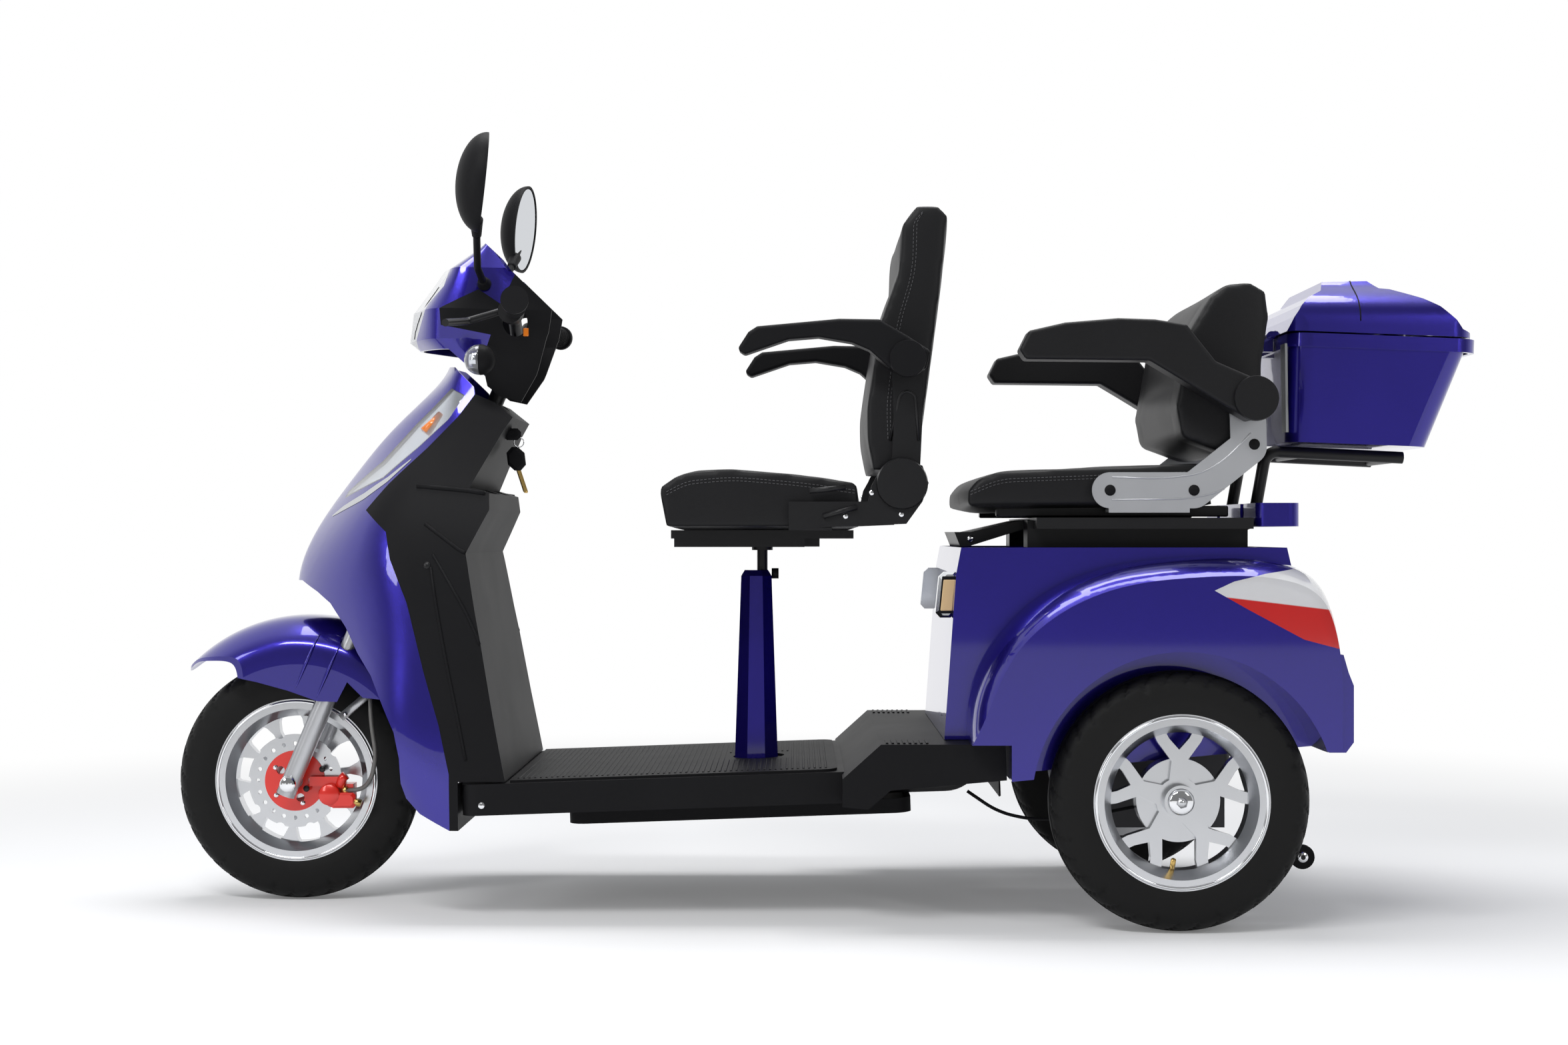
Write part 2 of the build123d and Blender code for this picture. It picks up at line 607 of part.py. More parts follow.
# ---------------------------------------------------------------- deck, mat, belly tray, seat post
DECK = Plane(origin=(POST_X, 0, DECK_Z), x_dir=(cos(radians(DECK_TILT)), 0, -sin(radians(DECK_TILT))),
             z_dir=(sin(radians(DECK_TILT)), 0, cos(radians(DECK_TILT))))
rest = prism([(-45, 240), (-105, FOOT_Z), (-300, FOOT_Z), (-302, 238), (-120, 222), (-85, 192), (-45, 196)],
             -FOOTREST_HALF_W, FOOTREST_HALF_W)
rest_room = prism([(-50, 150), (-50, 236), (-107, FOOT_Z - WALL), (-296, FOOT_Z - WALL), (-298, 150)],
                  WALL - FOOTREST_HALF_W, FOOTREST_HALF_W - WALL)
step_room = prism([(-30, 150), (-30, 234), (-56, 234), (-56, 150)], WALL - DECK_HALF_W, DECK_HALF_W - WALL)
with BuildPart() as deck:
    # a tray-shaped moulding, open underneath, with a raised step across its rear
    with BuildSketch(DECK.offset(-DECK_SKIRT)):
        with Locations(((DECK_FRONT_X + DECK_REAR_X) / 2 - POST_X, 0)):
            RectangleRounded(DECK_FRONT_X - DECK_REAR_X, DECK_HALF_W * 2, 30)
    extrude(amount=DECK_SKIRT)
    with BuildSketch(DECK.offset(-DECK_SKIRT - 20)):
        with Locations(((DECK_FRONT_X + DECK_REAR_X) / 2 - POST_X, 0)):
            RectangleRounded(DECK_FRONT_X - DECK_REAR_X - 2 * WALL, 2 * (DECK_HALF_W - WALL), 26)
    extrude(amount=DECK_SKIRT + 20 - WALL, mode=Mode.SUBTRACT)
    add(rest)
    add([rest_room, step_room], mode=Mode.SUBTRACT)
    with BuildSketch(Plane.XY.offset(FOOT_Z - 10)):
        with Locations((-284, RAIL_Y), (-284, -RAIL_Y)):
            Circle(RAIL_R + 9)
    extrude(amount=20, mode=Mode.SUBTRACT)
    add(spine_room, mode=Mode.SUBTRACT)
save(deck, "deck")

shield_room = prism([(486, 200), (486, 300), (600, 300), (600, 200)], -300, 300)
with BuildPart() as floor_mat:
    with BuildSketch(DECK):
        with Locations(((DECK_FRONT_X - 20 - 38) / 2 - POST_X, 0)):
            RectangleRounded(DECK_FRONT_X - 20 + 38, DECK_HALF_W * 2 - 24, 24)
        Circle(44, mode=Mode.SUBTRACT)
    extrude(amount=4)
    add(shield_room, mode=Mode.SUBTRACT)
save(floor_mat, "floor_mat")

TRAY_DEPTH = 24.0
TRAY_DROP = 28.0
with BuildPart() as belly_tray:
    with BuildSketch(DECK.offset(-DECK_SKIRT - TRAY_DROP)):
        with Locations((30, 0)):
            RectangleRounded(560, 380, 30)
    extrude(amount=TRAY_DEPTH)
    with BuildSketch(DECK.offset(-DECK_SKIRT - TRAY_DROP + WALL)):
        with Locations((30, 0)):
            RectangleRounded(560 - 2 * WALL, 380 - 2 * WALL, 26)
    extrude(amount=TRAY_DEPTH, mode=Mode.SUBTRACT)
save(belly_tray, "belly_tray")

with BuildPart() as seat_post:
    with BuildSketch(Plane.XY.offset(DECK_Z - 6)):
        with Locations((POST_X + 4, 0)):
            RegularPolygon(37, 8, major_radius=False, rotation=22.5)
    with BuildSketch(Plane.XY.offset(POST_TOP_Z - 10)):
        with Locations((POST_X + 4, 0)):
            RegularPolygon(26, 8, major_radius=False, rotation=22.5)
    loft()
    with BuildSketch(Plane.XY.offset(POST_TOP_Z - 10)):
        with Locations((POST_X + 4, 0)):
            RegularPolygon(26, 8, major_radius=False, rotation=22.5)
    with BuildSketch(Plane.XY.offset(POST_TOP_Z)):
        with Locations((POST_X + 4, 0)):
            RegularPolygon(20, 8, major_radius=False, rotation=22.5)
    loft()
    split(bisect_by=DECK, keep=Keep.TOP)
save(seat_post, "seat_post")

# ---------------------------------------------------------------- front seat
SEAT_SIDE_Y = FRONT_SEAT_HALF_W + 3.0
SEAT_PLATE = 6.0
recliner_plates = [
    side_prism([(40, 632), (40, 676), (-88, 676), (-94, 702), (-104, 720), (-122, 738), (-150, 744), (-176, 734),
                (-186, 706), (-176, 676), (-150, 640)], hand, SEAT_SIDE_Y, SEAT_SIDE_Y + SEAT_PLATE)
    for hand in (1, -1)
]
plate_feet = [side_prism([(40, 630), (40, 634), (-30, 634), (-30, 630)], hand, 100, SEAT_SIDE_Y + SEAT_PLATE)
              for hand in (1, -1)]
with BuildPart() as front_seat_base:
    # shaft in the post, cone, slide rails, seat pan and the two recliner side plates
    with BuildSketch(Plane.XY.offset(POST_TOP_Z)):
        with Locations((POST_X - 6, 0)):
            Circle(9)
    extrude(amount=36)
    with BuildSketch(Plane.XY.offset(POST_TOP_Z + 34)):
        with Locations((POST_X - 6, 0)):
            Circle(18)
    extrude(amount=8)
    with BuildSketch(Plane.XY.offset(POST_TOP_Z + 40)):
        with Locations((108, 0)):
            Rectangle(240, 60)
        with Locations((122, 120), (122, -120)):
            Rectangle(216, 26)
        with Locations((70, 0)):
            Rectangle(60, 250)
    extrude(amount=14)
    with BuildSketch(Plane.XY.offset(POST_TOP_Z + 54)):
        with Locations((84, 120), (84, -120)):
            Rectangle(302, 34)
    extrude(amount=14)
    add(recliner_plates)
    add(plate_feet)
    for hand in (1, -1):
        with BuildSketch(side(RECLINE_X, RECLINE_Z, hand * (SEAT_SIDE_Y - 4))):
            Circle(8)
        extrude(amount=hand * 10)
        with BuildSketch(side(RECLINE_X, RECLINE_Z, hand * (SEAT_SIDE_Y + SEAT_PLATE))):
            Circle(42)
        extrude(amount=hand * 9, taper=12)
save(front_seat_base, "front_seat_base")

front_cushion_solid = soft(
    [(240, 634), (252, 700), (221, 722), (189, 733), (132, 736), (24, 726), (-72, 712), (-80, 634)],
    -FRONT_SEAT_HALF_W, FRONT_SEAT_HALF_W, 11)
with BuildPart() as front_cushion:
    add(front_cushion_solid)
save(front_cushion, "front_cushion")

front_back_solid = soft(
    [(-96, 724), (-83, 777), (-82, 826), (-103, 963), (-135, 1060), (-140, 1130), (-166, 1162), (-204, 1162),
     (-224, 1140), (-212, 1027), (-186, 846), (-172, 752), (-150, 724)],
    6 - FRONT_SEAT_HALF_W, FRONT_SEAT_HALF_W - 6, 11)
with BuildPart() as front_backrest:
    add(front_back_solid)
    for hand in (1, -1):
        with BuildSketch(side(RECLINE_X, RECLINE_Z, hand * (FRONT_SEAT_HALF_W - 4))):
            Circle(8 + RUN)
        extrude(amount=-hand, mode=Mode.SUBTRACT)
save(front_backrest, "front_backrest")

back_brackets = [
    side_prism([(-124, 692), (-160, 690), (-172, 715), (-176, 800), (-176, 905), (-150, 926), (-126, 905),
                (-130, 800)], hand, FRONT_SEAT_HALF_W - 6, FRONT_SEAT_HALF_W)
    for hand in (1, -1)
]
with BuildPart() as front_back_frame:
    # ribbed side brackets that carry the backrest on the recliners and hold the armrest pivots
    add(back_brackets)
    for hand in (1, -1):
        with BuildSketch(side(RECLINE_X, RECLINE_Z, hand * (FRONT_SEAT_HALF_W - 8))):
            Circle(8 + RUN)
        extrude(amount=hand * 20, mode=Mode.SUBTRACT)
        with BuildSketch(side(FRONT_ARM_X, FRONT_ARM_Z, hand * (FRONT_SEAT_HALF_W - 2))):
            Circle(10)
        extrude(amount=hand * 50)
save(front_back_frame, "front_back_frame")

for tag, hand in (("l", 1), ("r", -1)):
    arm_y = hand * FRONT_ARM_Y
    arm = soft(
        [(122, 918), (104, 946), (90, 955), (-41, 967), (-105, 966), (-150, 940), (-186, 916), (-180, 888),
         (-150, 876), (-121, 888), (-89, 917), (-61, 929), (-8, 938), (40, 934), (110, 910)],
        arm_y - 24, arm_y + 24, 7)
    with BuildPart() as front_arm:
        add(arm)
        with BuildSketch(side(FRONT_ARM_X, FRONT_ARM_Z, hand * (FRONT_ARM_Y + 23))):
            Circle(30)
        extrude(amount=hand * 6, taper=10)
        with BuildSketch(side(FRONT_ARM_X, FRONT_ARM_Z, hand * (FRONT_ARM_Y - 30))):
            Circle(10 + RUN)
        extrude(amount=hand * 46.05, mode=Mode.SUBTRACT)
    save(front_arm, f"front_arm_{tag}")

# ---------------------------------------------------------------- rear body: tub and fenders
TUB = [(-209, FOOT_Z + 1), (-228, 560), (-236, BODY_TOP_Z), (-757, BODY_TOP_Z), (-766, 563), (-800, 486),
       (-790, 440), (-620, FOOT_Z + 1)]
TUB_IN = [(-213, 296), (-232, 560), (-240, 620), (-753, 620), (-761, 563), (-793, 486), (-784, 444), (-618, 304),
          (-400, 304)]
FENDER_FOOT = [(-827, 288), (-306, 240), (-306, FOOT_Z + 2), (-245, FOOT_Z + 2)]
FENDER_CREST = [(-245, FOOT_Z + 3), (-256, 360), (-300, 452), (-380, 524), (-480, 563), (-600, 577), (-720, 574),
                (-784, 548), (-812, 490), (-822, 410), (-827, 288)]
FENDER_DROPS = ((BODY_HALF_W - 1, -10), (BODY_HALF_W + 55, -6), (FENDER_HALF_W - 26, 4), (FENDER_HALF_W - 4, 20))


def fender_blank(hand):
    """The fender's rounded hull over a rear wheel: its outline drops as it goes outwards."""
    with BuildPart() as body:
        for y, drop in FENDER_DROPS:
            with BuildSketch(Plane.XZ.offset(-hand * y)):
                with BuildLine():
                    foot = [(x + drop * 0.4 * (x < -700), z) for x, z in FENDER_FOOT]
                    crest = [(x * (1 - drop / 800) - drop * 0.85, z - drop) for x, z in FENDER_CREST[1:-1]]
                    Polyline(*foot)
                    Spline(foot[-1], *crest, foot[0])
                make_face()
        loft()
    return body.part


tub_outer = prism(TUB, -BODY_HALF_W, BODY_HALF_W)
lamp_prism = prism([(-620, 536), (-650, 550), (-700, 562), (-770, 572), (-860, 572), (-860, 448), (-812, 446),
                    (-759, 460), (-675, 505)], -400, 400)
tub_inner = prism(TUB_IN, WALL - BODY_HALF_W, BODY_HALF_W - WALL)
floor_room = prism([(-262, 200), (-262, 380), (-690, 380), (-740, 428), (-800, 428), (-800, 200)],
                   WALL - BODY_HALF_W, BODY_HALF_W - WALL)
axle_slot = prism([(REAR_AXLE_X - 40, 200), (REAR_AXLE_X - 40, 262), (REAR_AXLE_X + 40, 262),
                   (REAR_AXLE_X + 40, 200)], -300, 300)
fenders = [fender_blank(hand) for hand in (1, -1)]
with BuildPart() as lamp_rooms:
    # where the two tail lamps sit in the rear corners of the fenders
    add(lamp_prism)
    with BuildSketch(Plane.XY.offset(400)):
        Rectangle(2400, 2 * (BODY_HALF_W + 2))
    extrude(amount=300, mode=Mode.SUBTRACT)
with BuildPart() as rear_body:
    add(tub_outer)
    add(fenders)
    for hand in (1, -1):
        with BuildSketch(side(REAR_AXLE_X, AXLE_Z, hand * (BODY_HALF_W + 2))):
            Circle(ARCH_R)
        extrude(amount=hand * 140, mode=Mode.SUBTRACT)
    add(tub_inner, mode=Mode.SUBTRACT)
    add([floor_room, axle_slot], mode=Mode.SUBTRACT)
    add(lamp_rooms.part, mode=Mode.SUBTRACT)
save(rear_body, "rear_body")

with BuildPart() as power_unit:
    # motor and differential as one plain block, with the axle tubes and the wheel stubs
    with BuildSketch(Plane.XY.offset(AXLE_Z - 72)):
        with Locations((REAR_AXLE_X, 0)):
            Rectangle(230, 200)
    extrude(amount=150)
    with BuildSketch(side(REAR_AXLE_X, AXLE_Z)):
        Circle(22)
    extrude(amount=HALF_TRACK - 34 - 8, both=True)
    with BuildSketch(side(REAR_AXLE_X, AXLE_Z)):
        Circle(REAR_BORE)
    extrude(amount=HALF_TRACK + 10, both=True)
save(power_unit, "power_unit")

# Coil-over shocks between the axle tubes and the frame.
SHOCK_Y = 214.0
DAMPER_R = 9.0
SPRING_R = 24.0
dampers = [tube([(REAR_AXLE_X - 30, hand * SHOCK_Y, AXLE_Z + 30), (REAR_AXLE_X + 30, hand * SHOCK_Y, AXLE_Z + 215)],
                DAMPER_R) for hand in (1, -1)]
springs = [tube([(REAR_AXLE_X - 18, hand * SHOCK_Y, AXLE_Z + 66), (REAR_AXLE_X + 20, hand * SHOCK_Y, AXLE_Z + 184)],
                SPRING_R) for hand in (1, -1)]
with BuildPart() as shocks:
    add([*dampers, *springs])
    for hand in (1, -1):
        with BuildSketch(side(REAR_AXLE_X - 30, AXLE_Z + 30, hand * 200)):
            Circle(9)
        extrude(amount=hand * 26)
        with BuildSketch(side(REAR_AXLE_X + 30, AXLE_Z + 215, hand * (RAIL_Y + RAIL_R + 0.5))):
            Circle(9)
        extrude(amount=hand * 60)
save(shocks, "shocks")

with BuildPart() as tail_lamps:
    add(fenders)
    add(lamp_rooms.part, mode=Mode.INTERSECT)
    with BuildSketch(side(REAR_AXLE_X, AXLE_Z)):
        Circle(ARCH_R)
    extrude(amount=500, both=True, mode=Mode.SUBTRACT)
save(tail_lamps, "tail_lamps")

BUMPER_HALF_W = FENDER_HALF_W - 14.0
bumper_blank = prism([(-800, 440), (-822, 436), (-830, 408), (-838, 388), (-838, 300), (-826, 284), (-800, 284)],
                     -BUMPER_HALF_W, BUMPER_HALF_W)
bumper_room = prism([(-796, 432), (-818, 430), (-828, 388), (-828, 300), (-820, 290), (-780, 270), (-780, 440)],
                    WALL - BUMPER_HALF_W, BUMPER_HALF_W - WALL)
with BuildPart() as bumper:
    add(bumper_blank)
    add(bumper_room, mode=Mode.SUBTRACT)
    with BuildSketch(side(REAR_AXLE_X, AXLE_Z)):
        Circle(ARCH_R - 2)
    extrude(amount=500, both=True, mode=Mode.SUBTRACT)
    add([tub_outer, *fenders], mode=Mode.SUBTRACT)
    for hand in (1, -1):
        with BuildSketch(Plane(origin=(-836, hand * 240, 332), z_dir=(-1, 0, 0))):
            Circle(25)
        extrude(amount=8)
save(bumper, "bumper")

# ---------------------------------------------------------------- rear seat
BRACKET_PATH = [(-477, 694), (-612, 694), (-700, 764), (REAR_ARM_X, REAR_ARM_Z)]
BRACKET_R = 29.0
BRACKET_Y = REAR_SEAT_HALF_W + 6.0
RACK_Z = 762.0  # height of the rack's bars at their front bend
RACK_BEND_X = -757.0
RACK_FALL = 0.048
link = prism([(-235, 627), (-262, 627), (-345, 646), (-362, 648), (-362, 634), (-345, 630), (-262, 604),
              (-245, 602)], -120, 120)
rack_bars = [
    tube([(-690, hand * 100, 636), (-735, hand * 100, 640), (RACK_BEND_X, hand * 100, RACK_Z),
          (-985, hand * 100, RACK_Z - 11)], 10, 24)
    for hand in (1, -1)
]
rungs = [
    tube([(x, -100, RACK_Z + (x - RACK_BEND_X) * RACK_FALL), (x, 100, RACK_Z + (x - RACK_BEND_X) * RACK_FALL)], 8)
    for x in (-820, -980)
]
with BuildPart() as rear_seat_base:
    # slide rails and cross plates on the tub, and the post that carries the rack
    with BuildSketch(Plane.XY.offset(BODY_TOP_Z)):
        with Locations((-530, 150), (-530, -150)):
            Rectangle(360, 60)
        with Locations((-600, 0)):
            Rectangle(60, 300)
    extrude(amount=44)
    with BuildSketch(Plane.XY.offset(BODY_TOP_Z + 30)):
        with Locations((-535, 0)):
            Rectangle(350, 2 * BRACKET_Y - 10)
    extrude(amount=18)
    add([link, *rack_bars, *rungs])
save(rear_seat_base, "rear_seat_base")

with BuildPart() as rear_seat_brackets:
    for hand in (1, -1):
        for start, end in zip(BRACKET_PATH, BRACKET_PATH[1:]):
            with BuildSketch(side(0, 0, hand * BRACKET_Y)):
                with Locations((-start[0], start[1]), (-end[0], end[1])):
                    Circle(BRACKET_R)
                make_hull()
            extrude(amount=hand * 5)
        with BuildSketch(Plane.XY.offset(664)):
            with Locations((-540, hand * (BRACKET_Y - 18))):
                Rectangle(130, 36)
        extrude(amount=-5)
        with BuildSketch(side(540, 664, hand * BRACKET_Y)):
            with Locations((1080, 0)):
                Rectangle(130, 12)
        extrude(amount=hand * 5)
        with BuildSketch(side(REAR_ARM_X, REAR_ARM_Z, hand * BRACKET_Y)):
            Circle(12)
        extrude(amount=hand * 64)
save(rear_seat_brackets, "rear_seat_brackets")

rear_cushion_solid = soft(
    [(-250, 656), (-246, 690), (-262, 716), (-301, 731), (-481, 738), (-635, 744), (-650, 668), (-300, 664)],
    -REAR_SEAT_HALF_W, REAR_SEAT_HALF_W, 8)
with BuildPart() as rear_cushion:
    add(rear_cushion_solid)
save(rear_cushion, "rear_cushion")

rear_back_solid = soft(
    [(-665, 750), (-591, 778), (-581, 830), (-604, 954), (-640, 1014), (-668, 1034), (-706, 1036), (-738, 1020),
     (-742, 973), (-730, 901), (-730, 820), (-700, 750)],
    -REAR_SEAT_HALF_W, REAR_SEAT_HALF_W, 11)
with BuildPart() as rear_backrest:
    add(rear_back_solid)
save(rear_backrest, "rear_backrest")

with BuildPart() as tail_plate:
    with BuildSketch(Plane.XY.offset(636)):
        with Locations((-752, 0)):
            RectangleRounded(70, 2 * REAR_SEAT_HALF_W, 20)
    extrude(amount=38)
    with BuildSketch(Plane.XY.offset(632)):
        with Locations((-752, 0)):
            RectangleRounded(70 - 2 * WALL, 2 * REAR_SEAT_HALF_W - 2 * WALL, 17)
    extrude(amount=38, mode=Mode.SUBTRACT)
    with BuildSketch(Plane.XY.offset(630)):
        with Locations((-735, 100), (-735, -100)):
            Rectangle(70, 26)
    extrude(amount=60, mode=Mode.SUBTRACT)
save(tail_plate, "tail_plate")

for tag, hand in (("l", 1), ("r", -1)):
    arm_y = hand * REAR_ARM_Y
    arm = soft(
        [(-325, 915), (-340, 945), (-397, 958), (-481, 965), (-539, 963), (-589, 955), (-635, 897), (-690, 873),
         (-726, 860), (-734, 838), (-722, 812), (-690, 803), (-646, 828), (-567, 876), (-530, 898), (-335, 900)],
        arm_y - 28, arm_y + 28, 7)
    with BuildPart() as rear_arm:
        add(arm)
        with BuildSketch(side(REAR_ARM_X, REAR_ARM_Z, hand * (REAR_ARM_Y + 27))):
            Circle(36)
        extrude(amount=hand * 7, taper=10)
        with BuildSketch(side(REAR_ARM_X, REAR_ARM_Z, hand * (REAR_ARM_Y - 32))):
            Circle(12 + RUN)
        extrude(amount=hand * (BRACKET_Y + 64 - REAR_ARM_Y + 32.05), mode=Mode.SUBTRACT)
    save(rear_arm, f"rear_arm_{tag}")

# ---------------------------------------------------------------- top box
BOX_FACE = Plane(origin=(-893, 0, 770.5), x_dir=(1, 0, 0.039), z_dir=(-0.039, 0, 1))


def box_shell(skin):
    """The box's tapered body with rounded corners; skin moves it inwards."""
    with BuildPart() as body:
        with BuildSketch(BOX_FACE.offset(skin)):
            RectangleRounded(230 - 2 * skin, 2 * (BOX_HALF_W - 12 - skin), 34 - skin)
        with BuildSketch(BOX_FACE.offset(164 + 2 * skin)):
            with Locations((-28, 0)):
                RectangleRounded(290 - 2 * skin, 2 * (BOX_HALF_W - 3 - skin), 34 - skin)
        loft()
        with BuildSketch(BOX_FACE.offset(156)):
            with Locations((-33, 0)):
                RectangleRounded(308 - 6 * skin, 2 * (BOX_HALF_W - 3 * (skin > 0) * 2), 36 - skin)
        extrude(amount=22 + skin * 2)
    return body.part


box_body = box_shell(0)
box_inside = box_shell(3.0)
with BuildPart() as top_box:
    add(box_body)
    add(box_inside, mode=Mode.SUBTRACT)
    for hand in (1, -1):
        with BuildSketch(side(LID_X, LID_Z - 12, hand * 60)):
            Rectangle(16, 26)
        extrude(amount=9, both=True)
        with BuildSketch(side(LID_X, LID_Z, hand * 60)):
            Circle(3)
        extrude(amount=34, both=True)
save(top_box, "top_box")

LID = [(-776, 956), (-786, 979), (-798, 998), (-812, 1012), (-837, 1025), (-845, 1042), (-920, 1044), (-935, 1030),
       (-952, 1028), (-999, 1010), (-1024, 996), (-1049, 973), (-1060, 958), (-1083, 950), (-1083, 944)]
LID_IN = [(-782, 950), (-790, 979), (-802, 996), (-815, 1008), (-838, 1021), (-935, 1024), (-952, 1023),
          (-998, 1005), (-1022, 991), (-1046, 969), (-1062, 940)]


def loaf(skin):
    """Front view of the lid carried along its length; skin moves it inwards."""
    half = BOX_HALF_W - skin
    with BuildPart() as body:
        with BuildSketch(Plane.YZ.offset(-1100)):
            with BuildLine():
                Polyline((-half, 966), (-half, 900), (half, 900), (half, 966))
                Spline((half, 966), (half * 0.92, 1006), (half * 0.7, 1034), (0, 1050 - skin),
                       tangents=((0, 1), (-1, 0)))
                Spline((0, 1050 - skin), (-half * 0.7, 1034), (-half * 0.92, 1006), (-half, 966),
                       tangents=((-1, 0), (0, -1)))
            make_face()
        extrude(amount=400)
        with BuildSketch(Plane.XY.offset(880)):
            with Locations((-926, 0)):
                RectangleRounded(308 - 2 * skin, 2 * half, 36 - skin)
        extrude(amount=200, mode=Mode.INTERSECT)
    return body.part


lid_outer = prism(LID, -BOX_HALF_W, BOX_HALF_W)
lid_inner = prism(LID_IN, WALL - BOX_HALF_W, BOX_HALF_W - WALL)
lid_loaf = loaf(0)
lid_loaf_in = loaf(WALL)
with BuildPart() as lid_hollow:
    add(lid_inner)
    add(lid_loaf_in, mode=Mode.INTERSECT)
with BuildPart() as box_lid:
    add(lid_outer)
    add(lid_loaf, mode=Mode.INTERSECT)
    add(lid_hollow.part, mode=Mode.SUBTRACT)
    for hand in (1, -1):
        with BuildSketch(side(LID_X, LID_Z, hand * 60)):
            Circle(7)
            with Locations((9, 4)):
                Rectangle(18, 8)
        extrude(amount=26, both=True)
        with BuildSketch(side(LID_X, LID_Z, hand * 60)):
            Circle(3 + RUN)
        extrude(amount=60, both=True, mode=Mode.SUBTRACT)
        with BuildSketch(side(LID_X, LID_Z - 6, hand * 60)):
            Rectangle(26, 34)
        extrude(amount=9.4, both=True, mode=Mode.SUBTRACT)
save(box_lid, "box_lid")

# Lens strip let into each flank of the fairing, under the head.
with BuildPart() as marker_lenses:
    add(fairing_outer)
    add(strip_side, mode=Mode.INTERSECT)
    add(fairing_inner, mode=Mode.SUBTRACT)
save(marker_lenses, "marker_lenses")
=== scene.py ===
import math

import bpy
from mathutils import Matrix, Vector


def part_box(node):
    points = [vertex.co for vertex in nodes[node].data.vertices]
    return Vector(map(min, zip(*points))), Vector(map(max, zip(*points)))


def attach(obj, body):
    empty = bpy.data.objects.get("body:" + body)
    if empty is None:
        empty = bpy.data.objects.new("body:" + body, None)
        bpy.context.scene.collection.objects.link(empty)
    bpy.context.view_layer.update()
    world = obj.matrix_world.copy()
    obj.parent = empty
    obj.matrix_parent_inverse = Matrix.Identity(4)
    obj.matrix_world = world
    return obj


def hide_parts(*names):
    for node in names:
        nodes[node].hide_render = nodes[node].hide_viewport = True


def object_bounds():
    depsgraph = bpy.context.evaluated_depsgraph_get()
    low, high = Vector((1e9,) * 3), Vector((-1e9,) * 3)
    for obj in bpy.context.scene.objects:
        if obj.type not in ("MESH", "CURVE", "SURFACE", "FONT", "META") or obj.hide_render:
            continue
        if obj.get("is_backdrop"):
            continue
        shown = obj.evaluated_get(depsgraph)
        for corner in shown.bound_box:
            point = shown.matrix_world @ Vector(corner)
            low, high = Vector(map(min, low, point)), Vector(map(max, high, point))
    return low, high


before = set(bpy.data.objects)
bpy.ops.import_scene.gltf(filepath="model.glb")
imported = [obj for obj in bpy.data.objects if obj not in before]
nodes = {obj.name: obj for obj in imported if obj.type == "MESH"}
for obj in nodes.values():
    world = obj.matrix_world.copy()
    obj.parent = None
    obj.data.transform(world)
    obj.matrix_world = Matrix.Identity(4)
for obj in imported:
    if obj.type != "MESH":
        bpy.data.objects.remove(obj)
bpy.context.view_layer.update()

# ------------------------------------------------------------------ camera, lights and stage
# The scooter stands on a pale studio floor in a white room, seen square from its left side.
# Large soft lamps above and in front give the long highlights of the paint.
scene = bpy.context.scene
scene.view_settings.view_transform = "Standard"
camera = bpy.data.objects.new("camera", bpy.data.cameras.new("camera"))
camera.data.lens = 49.46
camera.data.sensor_width = 36.0
camera.data.shift_x = -0.0081
camera.data.shift_y = 0.0068
camera.data.clip_end = 60.0
camera.location = (0.027, 3.700, 0.625)
camera.rotation_euler = (math.radians(90), 0, math.radians(180))
scene.collection.objects.link(camera)
scene.camera = camera

floor_half = 9.0
mesh = bpy.data.meshes.new("floor")
mesh.from_pydata([(-floor_half, -floor_half, -0.0005), (floor_half, -floor_half, -0.0005),
                  (floor_half, floor_half, -0.0005), (-floor_half, floor_half, -0.0005)], [], [(0, 1, 2, 3)])
floor = bpy.data.objects.new("floor", mesh)
scene.collection.objects.link(floor)
floor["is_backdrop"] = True


def add_node(tree, kind, values=None, **settings):
    """A new node of a tree, with its settings and the values of its inputs."""
    node = tree.nodes.new(kind)
    for setting, value in settings.items():
        setattr(node, setting, value)
    for socket, value in (values or {}).items():
        node.inputs[socket].default_value = value
    return node


def join(tree, *links):
    """Joins the nodes of a tree; each link is (node, output, node, input)."""
    for giver, output, taker, socket in links:
        tree.links.new(giver.outputs[output], taker.inputs[socket])


def seen_directly(tree):
    """1 for camera, glossy and transmission rays, 0 for the rays that carry light to the object."""
    path = add_node(tree, "ShaderNodeLightPath")
    out = path.outputs["Is Camera Ray"]
    for other in ("Is Glossy Ray", "Is Transmission Ray"):
        either = add_node(tree, "ShaderNodeMath", operation="MAXIMUM")
        tree.links.new(out, either.inputs[0])
        tree.links.new(path.outputs[other], either.inputs[1])
        out = either.outputs["Value"]
    return out


# The floor is lit near the scooter, where it takes the shadow, and fades into the white of the studio further out.
pale = bpy.data.materials.new("pale floor")
pale.use_nodes = True
tree = pale.node_tree
matt = tree.nodes["Principled BSDF"]
matt.inputs["Base Color"].default_value = (0.90, 0.90, 0.91, 1)
matt.inputs["Roughness"].default_value = 0.8
matt.inputs["Specular IOR Level"].default_value = 0.0
white = add_node(tree, "ShaderNodeEmission")
where = add_node(tree, "ShaderNodeTexCoord")
far = add_node(tree, "ShaderNodeVectorMath", operation="LENGTH")
fade = add_node(tree, "ShaderNodeMapRange", {"From Min": 1.3, "From Max": 3.2, "To Min": 0.14, "To Max": 1.0},
                interpolation_type="SMOOTHSTEP")
both = add_node(tree, "ShaderNodeMath", operation="MULTIPLY")
mix = add_node(tree, "ShaderNodeMixShader")
tree.links.new(seen_directly(tree), both.inputs[1])
join(tree, (where, "Object", far, 0), (far, "Value", fade, "Value"), (fade, "Result", both, 0),
     (both, "Value", mix, "Fac"), (matt, "BSDF", mix, 1), (white, "Emission", mix, 2),
     (mix, "Shader", tree.nodes["Material Output"], "Surface"))
mesh.materials.append(pale)

